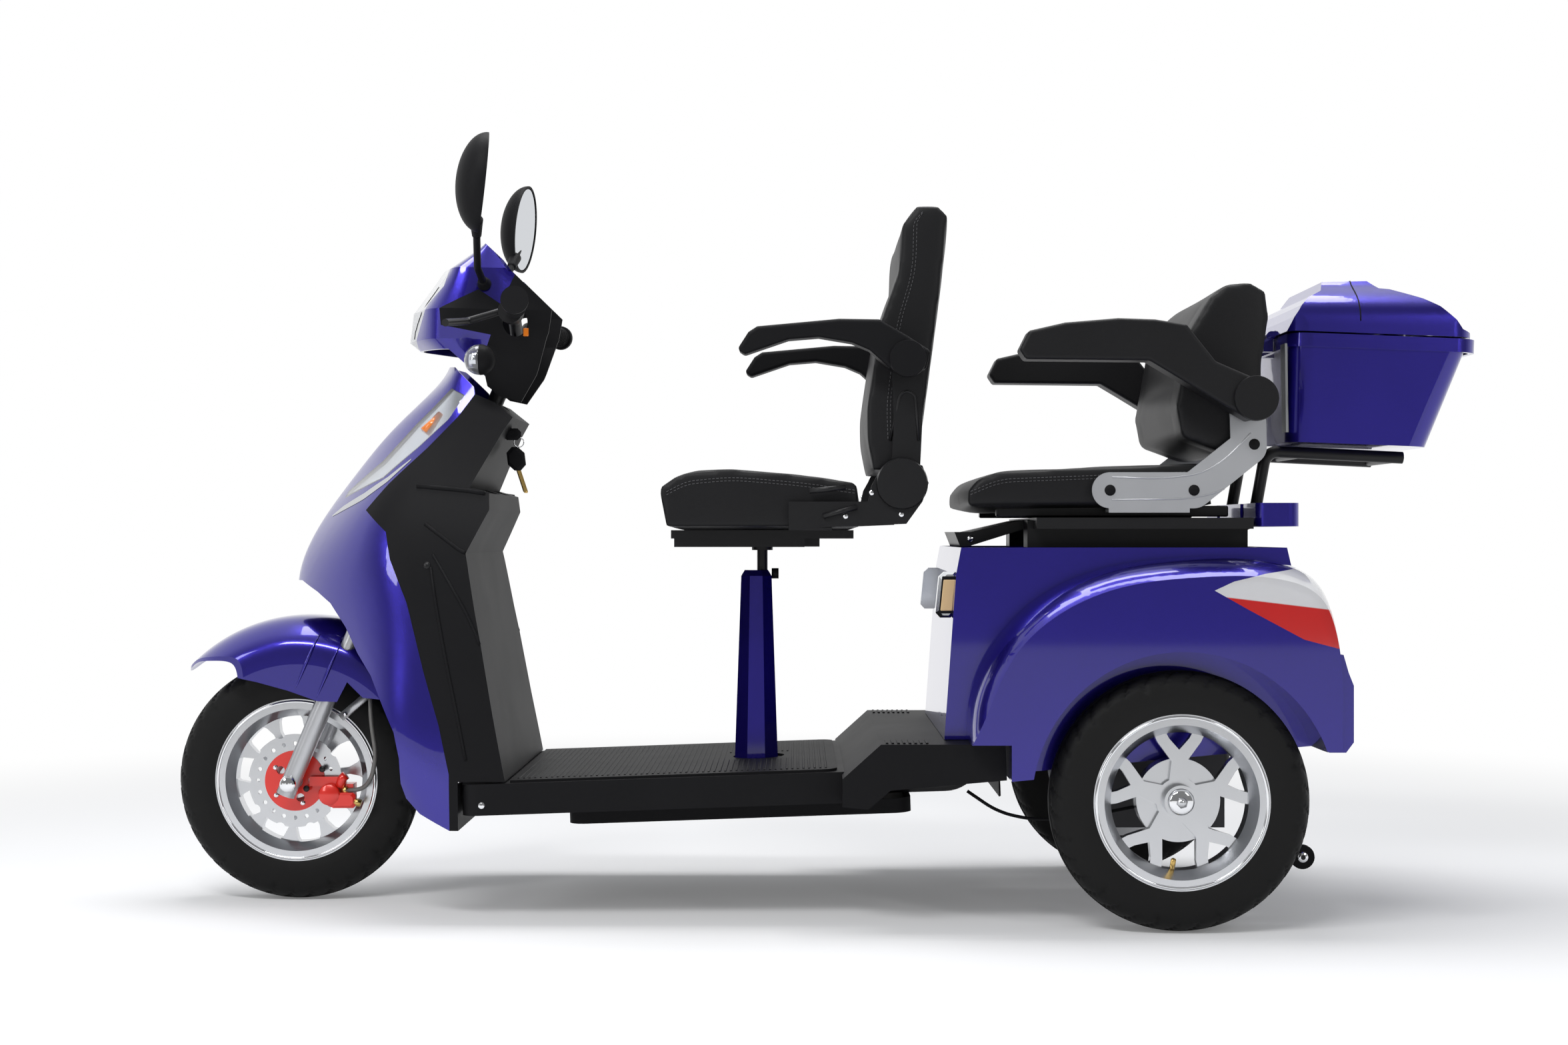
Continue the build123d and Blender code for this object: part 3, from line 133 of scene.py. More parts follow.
# The room gives a soft light, brighter overhead. Seen directly it is white behind the scooter and dim in front of
# it, so that chrome and paint have something to show.
world = bpy.data.worlds.new("studio")
world.use_nodes = True
sky = world.node_tree
sky_where = add_node(sky, "ShaderNodeTexCoord")
sky_split = add_node(sky, "ShaderNodeSeparateXYZ")
sky_ramp = add_node(sky, "ShaderNodeMapRange", {"From Min": -0.2, "From Max": 0.7, "To Min": 0.12, "To Max": 0.42})
room = sky.nodes["Background"]
room.inputs["Color"].default_value = (0.94, 0.97, 1.0, 1)
shown = add_node(sky, "ShaderNodeBackground", {"Color": (1, 1, 1, 1)})
dim = add_node(sky, "ShaderNodeMapRange", {"From Min": -0.1, "From Max": 0.5, "To Min": 1.0, "To Max": 0.22})
path = add_node(sky, "ShaderNodeLightPath")
plain = add_node(sky, "ShaderNodeMath", operation="MAXIMUM")
sky_mix = add_node(sky, "ShaderNodeMixShader")
sky.links.new(seen_directly(sky), sky_mix.inputs["Fac"])
join(sky, (sky_where, "Generated", sky_split, "Vector"), (sky_split, "Z", sky_ramp, "Value"),
     (sky_ramp, "Result", room, "Strength"), (sky_split, "Y", dim, "Value"), (dim, "Result", plain, 0),
     (path, "Is Camera Ray", plain, 1), (plain, "Value", shown, "Strength"), (room, "Background", sky_mix, 1),
     (shown, "Background", sky_mix, 2), (sky_mix, "Shader", sky.nodes["World Output"], "Surface"))
scene.world = world
for name, place, aim, wide, deep, power in (
    ("key", (1.2, 2.6, 3.3), (0.0, 0.0, 0.6), 2.0, 0.5, 62),
    ("fill", (-2.4, 2.9, 1.9), (-0.4, 0.0, 0.5), 0.35, 1.3, 14),
    ("front", (2.6, 2.0, 1.6), (0.5, 0.0, 0.6), 0.5, 1.4, 16),
    ("top", (0.0, -0.3, 3.4), (0.0, 0.0, 0.0), 3.0, 1.2, 78),
):
    lamp = bpy.data.objects.new(name, bpy.data.lights.new(name, "AREA"))
    lamp.data.energy = power
    lamp.data.shape = "RECTANGLE"
    lamp.data.size = wide
    lamp.data.size_y = deep
    lamp.location = place
    lamp.rotation_euler = (Vector(aim) - Vector(place)).to_track_quat("-Z", "Y").to_euler()
    scene.collection.objects.link(lamp)


# ------------------------------------------------------------------ frame and drive unit
# Welded steel tubes and pressings carry the scooter: the frame, the fork, the handlebar and the bases of the seats,
# all powder-coated black. The drive unit between the rear wheels is a rough iron casting, bolted to the frame.
def shader_group(name, inputs, output):
    """An empty group of shader nodes with named inputs and one output."""
    group = bpy.data.node_groups.new(name, "ShaderNodeTree")
    for title, kind, value in inputs:
        socket = group.interface.new_socket(title, in_out="INPUT", socket_type=kind)
        socket.default_value = value
    group.interface.new_socket(output[0], in_out="OUTPUT", socket_type=output[1])
    return group, add_node(group, "NodeGroupInput"), add_node(group, "NodeGroupOutput")


grain_depth = 0.0004
grain, g_in, g_out = shader_group(
    "Grain", [("Scale", "NodeSocketFloat", 600.0), ("Strength", "NodeSocketFloat", 0.3),
              ("Depth", "NodeSocketFloat", grain_depth)], ("Normal", "NodeSocketVector"))
coord = add_node(grain, "ShaderNodeTexCoord")
cells = add_node(grain, "ShaderNodeTexVoronoi", feature="DISTANCE_TO_EDGE")
bump = add_node(grain, "ShaderNodeBump")
join(grain, (coord, "Object", cells, "Vector"), (g_in, "Scale", cells, "Scale"), (cells, "Distance", bump, "Height"),
     (g_in, "Strength", bump, "Strength"), (g_in, "Depth", bump, "Distance"), (bump, "Normal", g_out, "Normal"))


def finish_of(name, colour, rough, metallic=0.0, coat=0.0, grain_scale=0.0, strength=0.3, transmission=0.0,
              wear=0.04, shine=0.5):
    """A Principled finish; its colour and roughness drift a little with a broad noise, and grain gives the normal.
    A low shine suits a dull grained moulding."""
    mat = bpy.data.materials.new(name)
    mat.use_nodes = True
    tree = mat.node_tree
    shader = tree.nodes["Principled BSDF"]
    for socket, value in (("Metallic", metallic), ("Coat Weight", coat), ("Coat Roughness", 0.04),
                          ("Transmission Weight", transmission), ("Specular IOR Level", shine)):
        shader.inputs[socket].default_value = value
    where = add_node(tree, "ShaderNodeTexCoord")
    drift = add_node(tree, "ShaderNodeTexNoise", {"Scale": 9.0, "Detail": 6.0})
    tone = add_node(tree, "ShaderNodeMixRGB", {
        "Color1": (*[c * (1 - wear * 2) for c in colour], 1),
        "Color2": (*[min(1, c * (1 + wear * 2) + wear * 0.02) for c in colour], 1)})
    spread = add_node(tree, "ShaderNodeMapRange", {"To Min": max(0.0, rough - wear), "To Max": min(1.0, rough + wear)})
    join(tree, (where, "Object", drift, "Vector"), (drift, "Fac", tone, "Fac"), (drift, "Fac", spread, "Value"),
         (tone, "Color", shader, "Base Color"), (spread, "Result", shader, "Roughness"))
    if grain_scale:
        leather = add_node(tree, "ShaderNodeGroup", {"Scale": grain_scale, "Strength": strength, "Depth": grain_depth},
                           node_tree=grain)
        join(tree, (leather, "Normal", shader, "Normal"))
    return mat


def dress(material, *names):
    """Gives solids of the frame a finish."""
    for name in names:
        solid = nodes[name].data
        solid.materials.clear()
        solid.materials.append(material)


steel = finish_of("black powder coat", (0.008, 0.008, 0.009), 0.36, grain_scale=1500, strength=0.12, shine=0.3)
dress(steel, "frame", "fork", "handlebar", "front_seat_base", "front_back_frame", "rear_seat_base")
cast = finish_of("cast iron", (0.10, 0.10, 0.105), 0.55, metallic=0.6, grain_scale=400, strength=0.4)
dress(cast, "power_unit")

# ------------------------------------------------------------------ black mouldings and rubber
# Fine-grained black plastic makes the leg shield, deck, tray, dash, mirror housings, rider's armrests and the small
# wheels behind; the grips and the floor mat are ribbed rubber. The mouldings are screwed on, the rubber is pressed on.
plastic = finish_of("black grained plastic", (0.009, 0.009, 0.010), 0.50, grain_scale=900, strength=0.25,
                    shine=0.08)
dress(plastic, "leg_shield", "deck", "belly_tray", "mirrors", "dash", "anti_tip_wheel_l", "anti_tip_wheel_r",
      "front_arm_l", "front_arm_r")
rubber = finish_of("ribbed rubber", (0.010, 0.010, 0.011), 0.55, grain_scale=1400, strength=0.3, shine=0.1)
dress(rubber, "grips", "floor_mat")

# ------------------------------------------------------------------ rims, hubs and valves
# Machined alloy rims and the brake disc run on the axles, each rim with a rolled bright lip. The rear hubs have a
# pressed chrome cap over the axle nut, and a brass valve stands in each rear rim.
SIDES = ((1, "l"), (-1, "r"))
axle_z = 0.205
front_x = 0.878
rear_x, rear_y = -0.573, 0.312
lip_radius, lip_out, lip_thick = 0.1335, 0.0352, 0.0026
alloy = finish_of("machined alloy", (0.62, 0.63, 0.65), 0.24, metallic=1.0, grain_scale=1800, strength=0.06)
dress(alloy, "front_rim", "rear_rim_l", "rear_rim_r", "front_disc")
chrome = finish_of("chrome", (0.82, 0.83, 0.85), 0.08, metallic=1.0, wear=0.01)
brass = finish_of("brass", (0.62, 0.42, 0.14), 0.28, metallic=1.0)


def piece(name, verts, faces, material, smooth=True):
    """A mesh object in one finish."""
    mesh = bpy.data.meshes.new(name)
    mesh.from_pydata([tuple(v) for v in verts], [], faces)
    mesh.materials.append(material)
    mesh.polygons.foreach_set("use_smooth", [smooth] * len(mesh.polygons))
    mesh.update()
    obj = bpy.data.objects.new(name, mesh)
    scene.collection.objects.link(obj)
    return obj


def wire(name, points, radius, material, closed=False, sides=10, caps=True):
    """A round bar through the points, as a mesh; its section turns with the path and does not twist."""
    points = [Vector(p) for p in points]
    verts, faces, up = [], [], None
    count = len(points)
    for i, p in enumerate(points):
        before = points[i - 1] if (i or closed) else p
        after = points[(i + 1) % count] if (i < count - 1 or closed) else p
        along = (after - before).normalized()
        if up is None:
            up = along.orthogonal().normalized()
        up = (up - along * up.dot(along)).normalized()
        side_way = along.cross(up)
        r = radius(i / max(1, count - 1)) if callable(radius) else radius
        for k in range(sides):
            a = 2 * math.pi * k / sides
            verts.append(p + (up * math.cos(a) + side_way * math.sin(a)) * r)
    for i in range(count if closed else count - 1):
        j = (i + 1) % count
        for k in range(sides):
            n = (k + 1) % sides
            faces.append((i * sides + k, i * sides + n, j * sides + n, j * sides + k))
    if caps and not closed:
        faces.append(tuple(range(sides))[::-1])
        faces.append(tuple((count - 1) * sides + k for k in range(sides)))
    return piece(name, verts, faces, material)


def hoop(centre, radius, count, start=0.0):
    """Points round a circle that faces sideways."""
    x, y, z = centre
    return [(x + radius * math.cos(a), y, z + radius * math.sin(a))
            for a in (2 * math.pi * k / count + start for k in range(count))]


for hand, tag in SIDES:
    y = hand * rear_y
    cap = wire(f"hub_cap_{tag}", [(rear_x, y + hand * out, axle_z) for out in (0.0255, 0.0300, 0.0330)],
               lambda t: 0.0215 - 0.006 * t * t, chrome, sides=36)
    nut = wire(f"axle_nut_{tag}", [(rear_x, y + hand * out, axle_z) for out in (0.0325, 0.0375)], 0.009, alloy,
               sides=6)
    lip = wire(f"rim_lip_{tag}", hoop((rear_x, y + hand * lip_out, axle_z), lip_radius, 96), lip_thick, chrome,
               closed=True, sides=10)
    valve = wire(f"valve_{tag}", [(rear_x + 0.012, y + hand * 0.008, axle_z - 0.111),
                                  (rear_x + 0.012, y + hand * 0.026, axle_z - 0.090)], 0.0042, brass, sides=10)
    for obj in (cap, nut, lip, valve):
        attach(obj, f"rear_wheel_{tag}")
    front_lip = wire(f"front_lip_{tag}", hoop((front_x, hand * lip_out, axle_z), lip_radius, 96), lip_thick, chrome,
                     closed=True, sides=10)
    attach(front_lip, "front_wheel")

# ------------------------------------------------------------------ tyres
# Black road tyres with a zigzag centre groove and slanted side grooves, moulded rubber.
# Each replaces the plain CAD tyre and turns with its wheel.
tyre_rubber = finish_of("tyre rubber", (0.009, 0.009, 0.009), 0.58, grain_scale=700, strength=0.15, shine=0.15)
bead = 0.128  # radius at which the rubber meets the rim
crown = 0.036  # height of the rounded tread over the side wall
groove = 0.0035
blocks = 36  # tread blocks round a tyre
around = 240
for tyre_name, body in (("front_tyre", "front_wheel"), ("rear_tyre_l", "rear_wheel_l"),
                        ("rear_tyre_r", "rear_wheel_r")):
    low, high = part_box(tyre_name)
    centre = (Vector(low) + Vector(high)) / 2
    half, outer = (high[1] - low[1]) / 2, (high[2] - low[2]) / 2
    profile = []
    for k in range(9):
        t = k / 8
        profile.append((-half * (0.78 + 0.22 * math.sin(t * 2.0)), bead + (outer - 0.034 - bead) * t))
    for k in range(1, 44):
        a = math.pi * (0.10 + 0.80 * k / 44)
        profile.append((-math.cos(a) * half, outer - crown + crown * math.sin(a) ** 0.8))
    profile += [(-y, r) for y, r in profile[:9]][::-1]
    verts, faces = [], []
    for i in range(around):
        turn = 2 * math.pi * i / around
        for y, r in profile:
            depth = 0.0
            if r > outer - 0.022:
                phase = (turn * blocks / (2 * math.pi)) % 1.0
                zig = abs(phase - 0.5) * 0.012
                slant = (turn * blocks / (2 * math.pi) + abs(y) * 26) % 1.0
                if abs(abs(y) - 0.010 - zig * 0.6) < 0.0022 or (abs(y) > 0.014 and slant < 0.17):
                    depth = groove
            r -= depth
            verts.append((centre.x + r * math.cos(turn), centre.y + y, centre.z + r * math.sin(turn)))
    n = len(profile)
    for i in range(around):
        j = (i + 1) % around
        for k in range(n):
            m = (k + 1) % n
            faces.append((i * n + k, i * n + m, j * n + m, j * n + k))
    tyre = piece("tread_" + tyre_name, verts, faces, tyre_rubber)
    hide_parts(tyre_name)
    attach(tyre, body)

# ------------------------------------------------------------------ fork legs and front brake
# The fork's legs are silver-painted tubes. On the left leg hangs the red caliper, an alloy casting with its round
# piston housing; black bolts hold it, a silver link steadies it, and the hose ends in brass unions.
silver = finish_of("silver paint", (0.52, 0.53, 0.55), 0.34, metallic=0.7, coat=0.4)
dress(silver, "fork_legs")
red_metal = finish_of("red paint", (0.74, 0.022, 0.012), 0.3, metallic=0.15, coat=0.6)
dress(red_metal, "caliper", "disc_carrier")
damper_black = finish_of("damper black", (0.02, 0.02, 0.02), 0.3, metallic=0.5)


def bake(obj):
    """Makes the modifiers' result the object's own mesh."""
    graph = bpy.context.evaluated_depsgraph_get()
    mesh = bpy.data.meshes.new_from_object(obj.evaluated_get(graph))
    obj.modifiers.clear()
    old = obj.data
    obj.data = mesh
    bpy.data.meshes.remove(old)
    return obj


def studs(name, places, radius, height, material, body):
    """A low dome at each place, laid by Geometry Nodes; a place is (x, y, z, normal)."""
    mesh = bpy.data.meshes.new(name + "_seeds")
    mesh.from_pydata([p[:3] for p in places], [], [])
    normal = mesh.attributes.new("toward", "FLOAT_VECTOR", "POINT")
    for i, p in enumerate(places):
        normal.data[i].vector = p[3]
    obj = bpy.data.objects.new(name, mesh)
    scene.collection.objects.link(obj)
    tree = bpy.data.node_groups.new(name + "_nodes", "GeometryNodeTree")
    tree.interface.new_socket("Geometry", in_out="INPUT", socket_type="NodeSocketGeometry")
    wide = tree.interface.new_socket("Radius", in_out="INPUT", socket_type="NodeSocketFloat")
    tree.interface.new_socket("Geometry", in_out="OUTPUT", socket_type="NodeSocketGeometry")
    start, end = add_node(tree, "NodeGroupInput"), add_node(tree, "NodeGroupOutput")
    dome = add_node(tree, "GeometryNodeMeshUVSphere", {"Segments": 20, "Rings": 10})
    flat = add_node(tree, "GeometryNodeTransform", {"Scale": (1, 1, height / radius)})
    put = add_node(tree, "GeometryNodeInstanceOnPoints")
    named = add_node(tree, "GeometryNodeInputNamedAttribute", {"Name": "toward"}, data_type="FLOAT_VECTOR")
    turn = add_node(tree, "FunctionNodeAlignRotationToVector", axis="Z")
    real = add_node(tree, "GeometryNodeRealizeInstances")
    paint = add_node(tree, "GeometryNodeSetMaterial", {"Material": material})
    join(tree, (start, "Radius", dome, "Radius"), (dome, "Mesh", flat, "Geometry"), (start, "Geometry", put, "Points"),
         (named, "Attribute", turn, "Vector"), (turn, "Rotation", put, "Rotation"), (flat, "Geometry", put, "Instance"),
         (put, "Instances", real, "Geometry"), (real, "Geometry", paint, "Geometry"),
         (paint, "Geometry", end, "Geometry"))
    mod = obj.modifiers.new("studs", "NODES")
    mod.node_group = tree
    mod[wide.identifier] = radius
    bake(obj)
    if not obj.data.materials:
        obj.data.materials.append(material)
    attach(obj, body)
    return obj


def bevelled_block(name, centre, size, cut, lean, material):
    """A box with its edges along Y cut off, leaning back as it rises."""
    hx, hy, hz = (v / 2 for v in size)
    outline = [(-hx + cut, -hz), (hx - cut, -hz), (hx, -hz + cut), (hx, hz - cut), (hx - cut, hz), (-hx + cut, hz),
               (-hx, hz - cut), (-hx, -hz + cut)]
    rows_at = []
    for y, shrink in ((-hy, 0.0), (hy * 0.5, 0.0), (hy, min(cut, 0.004))):
        row = []
        for x, z in outline:
            x -= math.copysign(shrink, x)
            z -= math.copysign(shrink, z)
            row.append((centre[0] + x - lean * z, centre[1] + math.copysign(y, centre[1]) * (1 if y > 0 else -1),
                        centre[2] + z))
        rows_at.append(row)
    verts = [v for row in rows_at for v in row]
    faces = [(k + 8 * r, (k + 1) % 8 + 8 * r, (k + 1) % 8 + 8 * r + 8, k + 8 * r + 8)
             for r in (0, 1) for k in range(8)]
    return piece(name, verts, faces + [tuple(range(8))[::-1], tuple(range(16, 24))], material, smooth=False)


union = wire("hose_union", [(0.775, 0.062, 0.172), (0.763, 0.062, 0.168)], 0.0065, brass, sides=6)
banjo = wire("banjo_bolt", [(0.790, 0.056, 0.190), (0.790, 0.064, 0.190)], 0.0075, brass, sides=6)
bleeder = wire("bleed_nipple", [(0.799, 0.060, 0.196), (0.795, 0.060, 0.210), (0.789, 0.060, 0.216)], 0.0080,
               red_metal, sides=20)
piston = wire("caliper_piston", [(0.8156, 0.054, 0.1837), (0.8156, 0.068, 0.1837), (0.8156, 0.070, 0.1837)],
              lambda t: 0.0180 if t < 0.9 else 0.0165, red_metal, sides=40)
block = bevelled_block("caliper_body", (0.7925, 0.062, 0.1740), (0.042, 0.014, 0.026), 0.004, 0.0, red_metal)
link = wire("brake_link", [(0.796, 0.066, 0.3135), (0.733, 0.066, 0.3670)], 0.0085, silver, sides=4)
for v in link.data.vertices:
    v.co.y = 0.066 + (v.co.y - 0.066) * 0.3
link_bolt = wire("link_bolt", [(0.788, 0.067, 0.320), (0.788, 0.072, 0.320)], 0.0045, chrome, sides=6)
for obj in (union, banjo, bleeder, piston, block, link, link_bolt):
    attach(obj, "steering")
studs("caliper_bolts", [(0.829, 0.0580, 0.226, (0, 1, 0)), (0.856, 0.0580, 0.193, (0, 1, 0))], 0.0055, 0.003,
      damper_black, "steering")
studs("disc_bolts", [(*p, (0, 1, 0)) for p in hoop((front_x, 0.0462, axle_z), 0.040, 5, 0.6)], 0.0045, 0.003, chrome,
      "front_wheel")
studs("hub_bolts", [(front_x, hand * 0.0985, axle_z, (0, hand, 0)) for hand, tag in SIDES], 0.014, 0.006, chrome,
      "steering")

# ------------------------------------------------------------------ brake hose and rear cable
# A braided hose comes down the fork to the caliper, and a thin black cable runs from the deck to the rear drum.
# Both are held at both ends, so their routes are fixed.
hose_grey = finish_of("braided hose", (0.15, 0.145, 0.14), 0.4, metallic=0.4, grain_scale=2200, strength=0.5)


def rounded_path(points, radius, steps=6):
    """Straight runs joined by arcs."""
    points = [Vector(p) for p in points]
    out = [points[0]]
    for a, b, c in zip(points, points[1:], points[2:]):
        u, v = (a - b).normalized(), (c - b).normalized()
        cut = min(radius, (a - b).length * 0.45, (c - b).length * 0.45)
        for k in range(steps + 1):
            t = k / steps
            out.append((b + u * cut) * (1 - t) ** 2 + b * 2 * t * (1 - t) + (b + v * cut) * t ** 2)
    out.append(points[-1])
    return out


hose_path = rounded_path([(0.744, 0.080, 0.362), (0.741, 0.088, 0.310), (0.732, 0.090, 0.255), (0.740, 0.082, 0.215),
                          (0.758, 0.066, 0.193), (0.790, 0.060, 0.190)], 0.03, 8)
hose = wire("brake_hose", hose_path, 0.0038, rubber, sides=12)
hose_length = sum((b - a).length for a, b in zip(hose_path, hose_path[1:]))
hose.data.materials[0] = hose_grey
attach(hose, "steering")
cable_path = rounded_path([(-0.250, 0.200, 0.206), (-0.300, 0.205, 0.172), (-0.360, 0.212, 0.160), 
                           (-0.450, 0.236, 0.172), (-0.520, 0.262, 0.190)], 0.05, 8)
cable = wire("rear_brake_cable", cable_path, 0.0028, rubber, sides=12)
cable_length = sum((b - a).length for a, b in zip(cable_path, cable_path[1:]))
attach(cable, "chassis")
print("cord lengths", round(hose_length, 3), round(cable_length, 3))

# ------------------------------------------------------------------ shocks
# Gold coil springs over black dampers, one beside each axle end; the coil is wound from round wire.
spring_finish = finish_of("gold spring", (0.62, 0.42, 0.10), 0.3, metallic=0.9)
dress(spring_finish, "shocks")
turns, per_turn = 7, 20
for hand, tag in SIDES:
    y = hand * 0.214
    foot, head = Vector((-0.603, y, 0.235)), Vector((-0.543, y, 0.440))
    axis = (head - foot).normalized()
    side_a = Vector((0, 1, 0))
    side_b = axis.cross(side_a)
    coil = []
    for k in range(turns * per_turn + 1):
        a = 2 * math.pi * k / per_turn
        t = 0.18 + 0.74 * k / (turns * per_turn)
        coil.append(foot.lerp(head, t) + (side_a * math.cos(a) + side_b * math.sin(a)) * 0.021)
    spring = wire(f"shock_coil_{tag}", coil, 0.0032, spring_finish, sides=8)
    damper = wire(f"shock_damper_{tag}", [foot, foot.lerp(head, 0.55)], 0.013, damper_black, sides=24)
    rod = wire(f"shock_rod_{tag}", [foot.lerp(head, 0.55), head], 0.006, alloy, sides=16)
    for eye, place in (("low", foot), ("high", head)):
        loop = wire(f"shock_eye_{tag}_{eye}", [place + Vector((0, -0.013, 0)), place + Vector((0, 0.013, 0))], 0.010,
                    damper_black, sides=20)
        pin = wire(f"shock_pin_{tag}_{eye}",
                   [place + Vector((0, -0.052 * hand, 0)), place + Vector((0, 0.018 * hand, 0))], 0.005, alloy,
                   sides=12)
        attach(loop, "chassis")
        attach(pin, "chassis")
    for seat_at in (0.17, 0.95):
        cup = wire(f"shock_seat_{tag}_{int(seat_at * 100)}",
                   [foot.lerp(head, seat_at - 0.015), foot.lerp(head, seat_at)], 0.025, damper_black, sides=28)
        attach(cup, "chassis")
    for obj in (spring, damper, rod):
        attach(obj, "chassis")
    if hand == 1:
        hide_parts("shocks")

# ------------------------------------------------------------------ painted panels
# Deep metallic blue-violet clear-coated plastic: fairing, head cowl, mudguard, tub, bumper, box and post. Each is
# moulded and screwed to the frame. Two ridges stiffen the mudguard, and a bright stripe runs under each side strip.
blue = finish_of("blue flake paint", (0.018, 0.010, 0.26), 0.26, metallic=0.75, coat=1.0, wear=0.03)
tree = blue.node_tree
flake_where = add_node(tree, "ShaderNodeTexCoord")
flakes = add_node(tree, "ShaderNodeTexVoronoi", {"Scale": 2600.0})
flake_bump = add_node(tree, "ShaderNodeBump", {"Strength": 0.12, "Distance": 0.0002})
join(tree, (flake_where, "Object", flakes, "Vector"), (flakes, "Distance", flake_bump, "Height"),
     (flake_bump, "Normal", tree.nodes["Principled BSDF"], "Normal"))
dress(blue, "fairing", "head_cowl", "front_mudguard", "rear_body", "bumper", "top_box", "box_lid", "seat_post",
      "tail_plate")


def on_skin(node, x, z, hand):
    """Point of a panel's outer skin straight in from the side, with its normal."""
    hit, place, normal, _ = nodes[node].ray_cast(Vector((x, hand * 0.6, z)), Vector((0, -hand, 0)), distance=0.7)
    return (place, normal) if hit else None


def along_skin(node, path, hand, least):
    """Points of a panel's outer skin along a path of (x, z), where it lies at least so far out."""
    found = [on_skin(node, x, z, hand) for x, z in path]
    return [hit[0] for hit in found if hit and abs(hit[0].y) > least]


def stripe_on(name, path, hand, widest, material, body):
    """A thin bright stripe laid on the fairing, tapered to both ends."""
    steps = 40
    verts, rows = [], 0
    for k in range(steps + 1):
        t = k / steps * (len(path) - 1)
        i = min(int(t), len(path) - 2)
        x = path[i][0] + (path[i + 1][0] - path[i][0]) * (t - i)
        z = path[i][1] + (path[i + 1][1] - path[i][1]) * (t - i)
        wide = widest * math.sin(math.pi * (0.06 + 0.88 * k / steps))
        row = [on_skin("fairing", x + wide * 0.5, z - wide * s, hand) for s in (0, 1, 2)]
        if all(row):
            verts += [place + normal * 0.0005 for place, normal in row]
            rows += 1
    faces = [(i * 3 + j, i * 3 + j + 1, i * 3 + j + 4, i * 3 + j + 3) for i in range(rows - 1) for j in range(2)]
    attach(piece(name, verts, faces, material), body)


for hand, tag in SIDES:
    stripe_on(f"bright_stripe_{tag}", [(0.664, 0.748), (0.700, 0.718), (0.742, 0.692), (0.786, 0.671), (0.812, 0.655)],
              hand, 0.0055, silver, "chassis")
    for n, (top, foot) in enumerate((((0.827, 0.455), (0.864, 0.366)), ((0.789, 0.442), (0.829, 0.350)))):
        path = [(top[0] + (foot[0] - top[0]) * k / 12, top[1] + (foot[1] - top[1]) * k / 12) for k in range(13)]
        ridge = along_skin("front_mudguard", path, hand, 0.03)
        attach(wire(f"mudguard_ridge_{tag}_{n}", ridge, lambda t: 0.0032 * math.sin(math.pi * (0.08 + 0.84 * t)),
                     blue, sides=10), "steering")

# ------------------------------------------------------------------ lamps
# Moulded lenses over chrome bowls: headlight, side strips and turn signals, with amber bulbs in the strips and black
# backs on the signals. The tail lamps are clear along their upper edge and red below; each clips into its panel.
clear = finish_of("clear lens", (0.90, 0.92, 0.95), 0.04, coat=0.6, transmission=0.92, wear=0.01)
dress(clear, "turn_signals", "marker_lenses")
milky = finish_of("milky lens", (0.74, 0.75, 0.77), 0.08, coat=0.6, transmission=0.30, wear=0.01)
dress(milky, "headlight")
red_lens = finish_of("red lens", (0.48, 0.006, 0.006), 0.10, coat=1.0, transmission=0.35, wear=0.01)
tail_lens = finish_of("tail lens", (0.72, 0.012, 0.010), 0.10, coat=1.0, transmission=0.35, wear=0.01)
tree = tail_lens.node_tree
tail_shader = tree.nodes["Principled BSDF"]
tail_red = tail_shader.inputs["Base Color"].links[0].from_socket
tail_where = add_node(tree, "ShaderNodeTexCoord")
tail_split = add_node(tree, "ShaderNodeSeparateXYZ")
tail_slant = add_node(tree, "ShaderNodeMath", {1: -0.12}, operation="MULTIPLY_ADD")
tail_above = add_node(tree, "ShaderNodeMapRange", {"From Min": 0.6015, "From Max": 0.6030})
tail_mix = add_node(tree, "ShaderNodeMixRGB", {"Color2": (0.88, 0.88, 0.90, 1)})
tree.links.new(tail_red, tail_mix.inputs["Color1"])
join(tree, (tail_where, "Object", tail_split, "Vector"), (tail_split, "X", tail_slant, 0),
     (tail_split, "Z", tail_slant, 2), (tail_slant, "Value", tail_above, "Value"),
     (tail_above, "Result", tail_mix, "Fac"), (tail_mix, "Color", tail_shader, "Base Color"))
dress(tail_lens, "tail_lamps")
chrome_soft = finish_of("vacuum chrome", (0.78, 0.80, 0.83), 0.14, metallic=1.0, wear=0.02)
amber = finish_of("amber lens", (0.85, 0.22, 0.02), 0.15, coat=0.8, wear=0.01)
amber_clear = finish_of("pale amber lens", (0.72, 0.50, 0.26), 0.08, coat=1.0, wear=0.01)


def inner_copy(name, source, shift, squeeze, material, body):
    """A copy of a lens drawn in behind it, as the bowl or liner that shows through."""
    mesh = nodes[source].data.copy()
    mesh.materials.clear()
    mesh.materials.append(material)
    for v in mesh.vertices:
        v.co.x += shift[0]
        v.co.z += shift[1]
        v.co.y *= squeeze
    obj = bpy.data.objects.new(name, mesh)
    scene.collection.objects.link(obj)
    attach(obj, body)
    return obj


